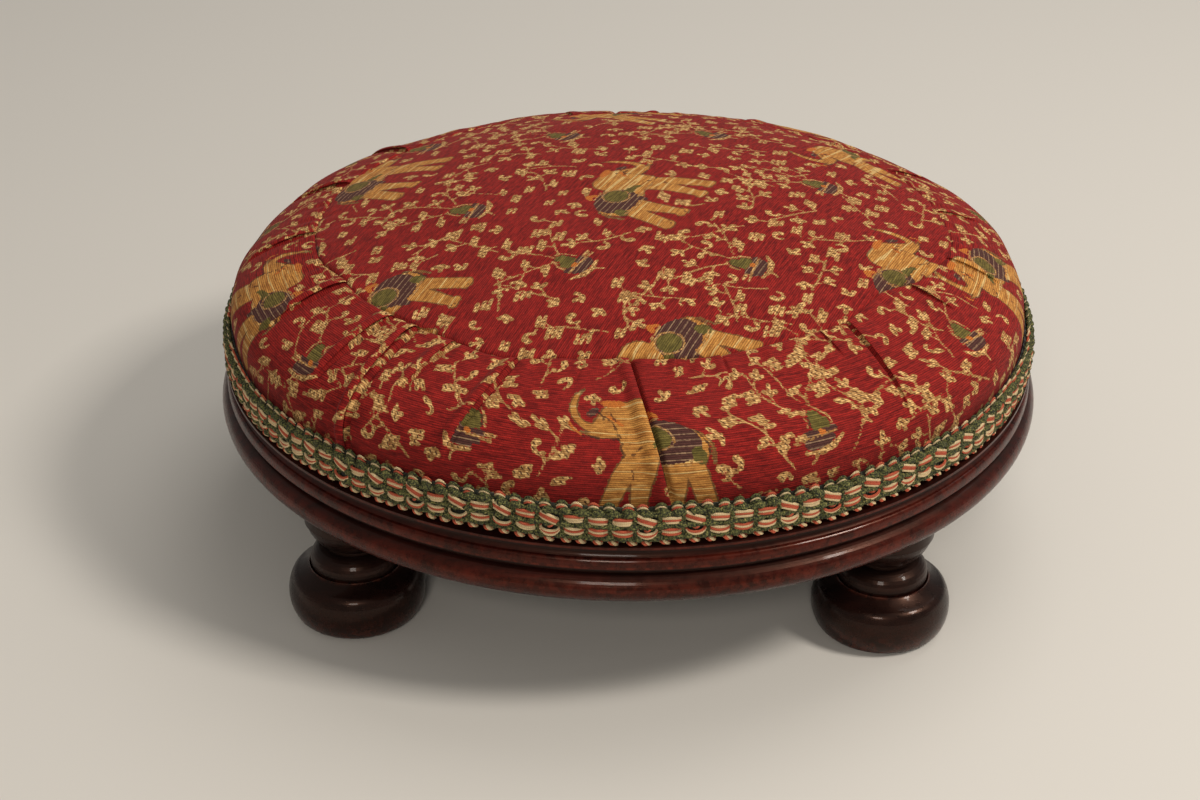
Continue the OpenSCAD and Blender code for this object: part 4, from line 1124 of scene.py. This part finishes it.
def make_strands(name, paths, thickness, kinds, material, sides=6, closed=False):
    """Round strands along paths of (along, height, out) points, each of one kind of yarn."""
    places = braid_point(*np.moveaxis(np.array(paths, float), -1, 0))
    count, steps = places.shape[:2]
    way = np.roll(places, -1, 1) - np.roll(places, 1, 1) if closed else np.gradient(places, axis=1)
    way /= np.linalg.norm(way, axis=-1, keepdims=True)
    out = places * (1, 1, 0)
    out -= way * np.sum(out * way, -1, keepdims=True)
    out /= np.linalg.norm(out, axis=-1, keepdims=True)
    spin = 2 * np.pi * np.arange(sides) / sides
    aside = np.cross(way, out)[..., None, :]
    around = out[..., None, :] * np.cos(spin)[:, None] + aside * np.sin(spin)[:, None]
    points = places[..., None, :] + np.broadcast_to(thickness, (count, steps))[..., None, None] * around
    first = np.arange(count)[:, None, None] * steps * sides
    faces = first + grid_faces(steps, sides, ring=True, closed=closed)
    piece = add_piece(name, points, faces.reshape(-1, 4), material)
    walked = np.cumsum(np.linalg.norm(np.diff(places, axis=1, prepend=places[:, :1]), axis=-1), 1)
    kinds = np.array(kinds, float)[:, None, None]
    keep_vectors(piece, "strand", (walked[..., None], spin / (2 * np.pi), kinds))
    stands_for(piece, "gimp_braid")


def make_yarn(name, fuzzy):
    """Yarn in green, coral or cream, by the strand's kind. Chenille is fuzzy; other strands are two-ply, with
    painted shade between the plies.
    """
    material, shader = new_material(name, dye(66, 72, 44), Roughness=0.85)
    along, around, kind = kept_vector(shader, "strand").parts()
    fuzz = place_in_mm(shader).noise(1.7 if fuzzy else 1.5, 3, 0.7)
    ply = abs((along * (2 * math.pi / twist_pitch) + around * (4 * math.pi)).sine())
    green = fuzz.eased(0.4, 0.62).between(dye(18, 19, 9), dye(111, 113, 58))
    # Coral and cream are darker in the grooves between the plies: painted shade.
    coral = ply.between(dye(124, 44, 26), dye(224, 106, 70))
    cream = ply.between(dye(180, 140, 90), dye(252, 226, 176))
    colour = kind.eased(1.4, 1.6).between(kind.eased(0.4, 0.6).between(green, coral), cream)
    if fuzzy:
        colour = fuzz.eased(0.58, 0.68, 0, 0.75).between(colour, dye(190, 172, 102))
        dress(shader, colour, fuzz, 0.9, 1.0)
    else:
        dress(shader, colour, ply + fuzz * 0.4, 0.16, 0.8)
    return material


chenille, thread = make_yarn("green_chenille", True), make_yarn("braid_thread", False)

ground_cloth = woven_cloth("braid_ground", dye(13, 15, 8), dye(48, 50, 28), 0.8, 0.3)
heights, outs = np.array([
    (66.4, 0), (66.4, 0.8), (68, 1.0), (70, 1.1), (72, 1.1), (74, 1.1), (76, 1.1), (77.6, 0.9), (78.9, 0.5),
    (78.9, 0),
]).T
stations = np.linspace(0, braid_round - 0.4, braid_stations)[:, None]
faces = grid_faces(braid_stations, len(heights), ring=True, flip=True)
gimp_ground = add_piece("gimp_ground", braid_point(stations, heights, outs), faces, ground_cloth)
stands_for(gimp_ground, "gimp_braid")

cord_steps = np.arange(0, braid_round, cord_pitch)[:-1]
cords = []
for height, out, sway, waves, phase in (
    (77.4, 2.2, 0.4, braid_picots, 0), (73.3, 2.9, 0.2, braid_cells, 1), (68.9, 2.25, 0.4, braid_picots, 2),
):
    bob = np.sin(2 * np.pi * cord_steps * waves / braid_round + phase)
    jitter = braid_chance.normal(0, 0.12, (2, len(cord_steps)))
    cords.append(np.stack([cord_steps, height + sway * bob + jitter[0], out + 0.25 * bob + jitter[1]], 1))
scallop = np.sin(2 * np.pi * cord_steps * braid_picots / braid_round + np.array([[0.8], [0], [2.8]]))
uneven = 1 + braid_chance.normal(0, 0.1, scallop.shape) + 0.2 * scallop
thickness = np.array([[1.2], [1.0], [1.2]]) * uneven
make_strands("gimp_cords", cords, thickness, [green_yarn] * 3, chenille, 9, True)

cell = braid_round / braid_cells
share = np.linspace(0, 1, 13)
bulge = 1.6 + 1.1 * np.sin(np.pi * share) ** 0.5
wraps = []
for number in range(braid_cells):
    middle = (number + braid_chance.uniform(-0.05, 0.05)) * cell
    for ply in (0, 1):
        spin = 2 * np.pi * (wrap_turns * share + ply / 2)
        out = bulge + 0.36 * np.sin(spin)
        wraps.append(np.stack([middle + 0.42 * np.cos(spin), 68.2 + 10.2 * share, out], 1))
uneven = 1 + braid_chance.normal(0, 0.07, (len(wraps), len(share)))
make_strands("gimp_wraps", wraps, 0.52 * uneven, [green_yarn] * len(wraps), chenille, 7)

share = np.linspace(-1, 1, 11)
bundles, kinds = [], []


def add_bundle(order, spread, along, height, fan=1):
    """Strands side by side on one curve across a cell. A fan below 1 brings them closer together."""
    for place, kind in enumerate(order):
        side = (place - (len(order) - 1) / 2) * spread
        out = 1.5 + 1.9 * np.sqrt(np.clip(1 - 0.92 * share ** 2, 0, 1)) + braid_chance.normal(0, 0.06)
        bundles.append(np.stack([along, height + side * fan + braid_chance.normal(0, 0.06), out], 1))
        kinds.append(kind)


half, arch, loop = cell / 2 - 0.5, 1 - share ** 2, np.cos(share * 1.5)
for number in range(braid_cells):
    middle = (number + 0.5) * cell
    tilt, rise = braid_chance.uniform(-0.25, 0.25), braid_chance.uniform(-0.25, 0.25)
    if number % 2 or braid_chance.random() < 0.12:
        for level, bend in ((75.1, 0.45), (71.5, -0.45)):
            order = straight_orders[braid_chance.integers(4)]
            bend += braid_chance.uniform(-0.3, 0.3)
            add_bundle(order, 0.85, middle + share * half, level + rise + tilt * share + bend * arch)
    else:
        add_bundle((2, 1, 1, 2), 0.72, middle + share * half, 75.0 + rise - 1.4 * share + 0.5 * arch)
        order, along = loop_orders[braid_chance.integers(3)], middle + (half - 0.2) * np.sin(share * 1.5)
        add_bundle(order, 0.7, along, 72.0 + rise - 1.9 * loop, loop)
        if braid_chance.random() < 0.6:
            add_bundle((coral_yarn,), 0.7, middle + 0.3 + share, 72.4 + 0.6 * share)
make_strands("gimp_bundles", bundles, bundle_radius, kinds, thread)

share = np.linspace(-1, 1, 9)
picots, kinds, widths = [], [], []
for number in range(braid_picots):
    middle = (number + braid_chance.uniform(-0.12, 0.12)) * braid_round / braid_picots
    for place, kind in enumerate(picot_orders[braid_chance.integers(4)]):
        top = 80.7 - 0.8 * place + braid_chance.uniform(-0.15, 0.15)
        out = 0.7 + 0.9 * np.sqrt(1 - 0.9 * share ** 2) + 0.25 * place
        picots.append(np.stack([middle + 1.75 * share, top - 1.3 * np.abs(share) ** 2.2, out], 1))
        kinds.append(kind)
        widths.append((0.4 if kind else 0.6) * np.sqrt(1.05 - share ** 2 * 0.8))
    lean = braid_chance.uniform(0.1, 0.5)
    for ply, kind in enumerate((cream_yarn, coral_yarn)):
        spin = np.pi * (share * 1.1 + ply)
        height = 66.8 - lean * share + 0.3 * np.cos(spin)
        out = 1.4 + 0.8 * (1 - share ** 2) + 0.3 * np.sin(spin)
        picots.append(np.stack([middle + 1.2 + 1.75 * share, height, out], 1))
        kinds.append(kind)
        widths.append(0.6 * np.sqrt(1.06 - share ** 2) * braid_chance.uniform(0.85, 1.1))
make_strands("gimp_picots", picots, np.array(widths), kinds, thread)
finish_node("gimp_pins", steel)


# The bottom cloth: black cambric under the opening, its edge turned under and tacked to the ring. It hides
# the webbing from below, and its middle hangs a little slack.
cambric_radius, cambric_cut_radius, cambric_low, cambric_high = 111.3, 121, 44.02, 44.45
opening_radius, hem_radius = 98, 99
cambric = woven_cloth("black_cambric", dye(14, 14, 16), dye(40, 40, 44), 0.55, 0.12)


def hemmed(radius, height, angle):
    """The edge is doubled where it is turned under, and the middle sags."""
    sag = 0.7 * np.cos(np.clip(radius / opening_radius, 0, 1) * np.pi / 2) ** 2
    is_hem = (radius > hem_radius) & (height < (cambric_low + cambric_high) / 2)
    hem = np.where(is_hem, 0.35 * (0.8 + 0.2 * np.sin(23 * angle)), 0)
    return radius, height - sag - hem


section = disc_section(cambric_radius, cambric_low, cambric_high)
bottom_disc = turned_piece("bottom_disc", section, cambric, hemmed)
stands_for(bottom_disc, "bottom_cloth")
finish_node("bottom_cloth_tacks", steel)
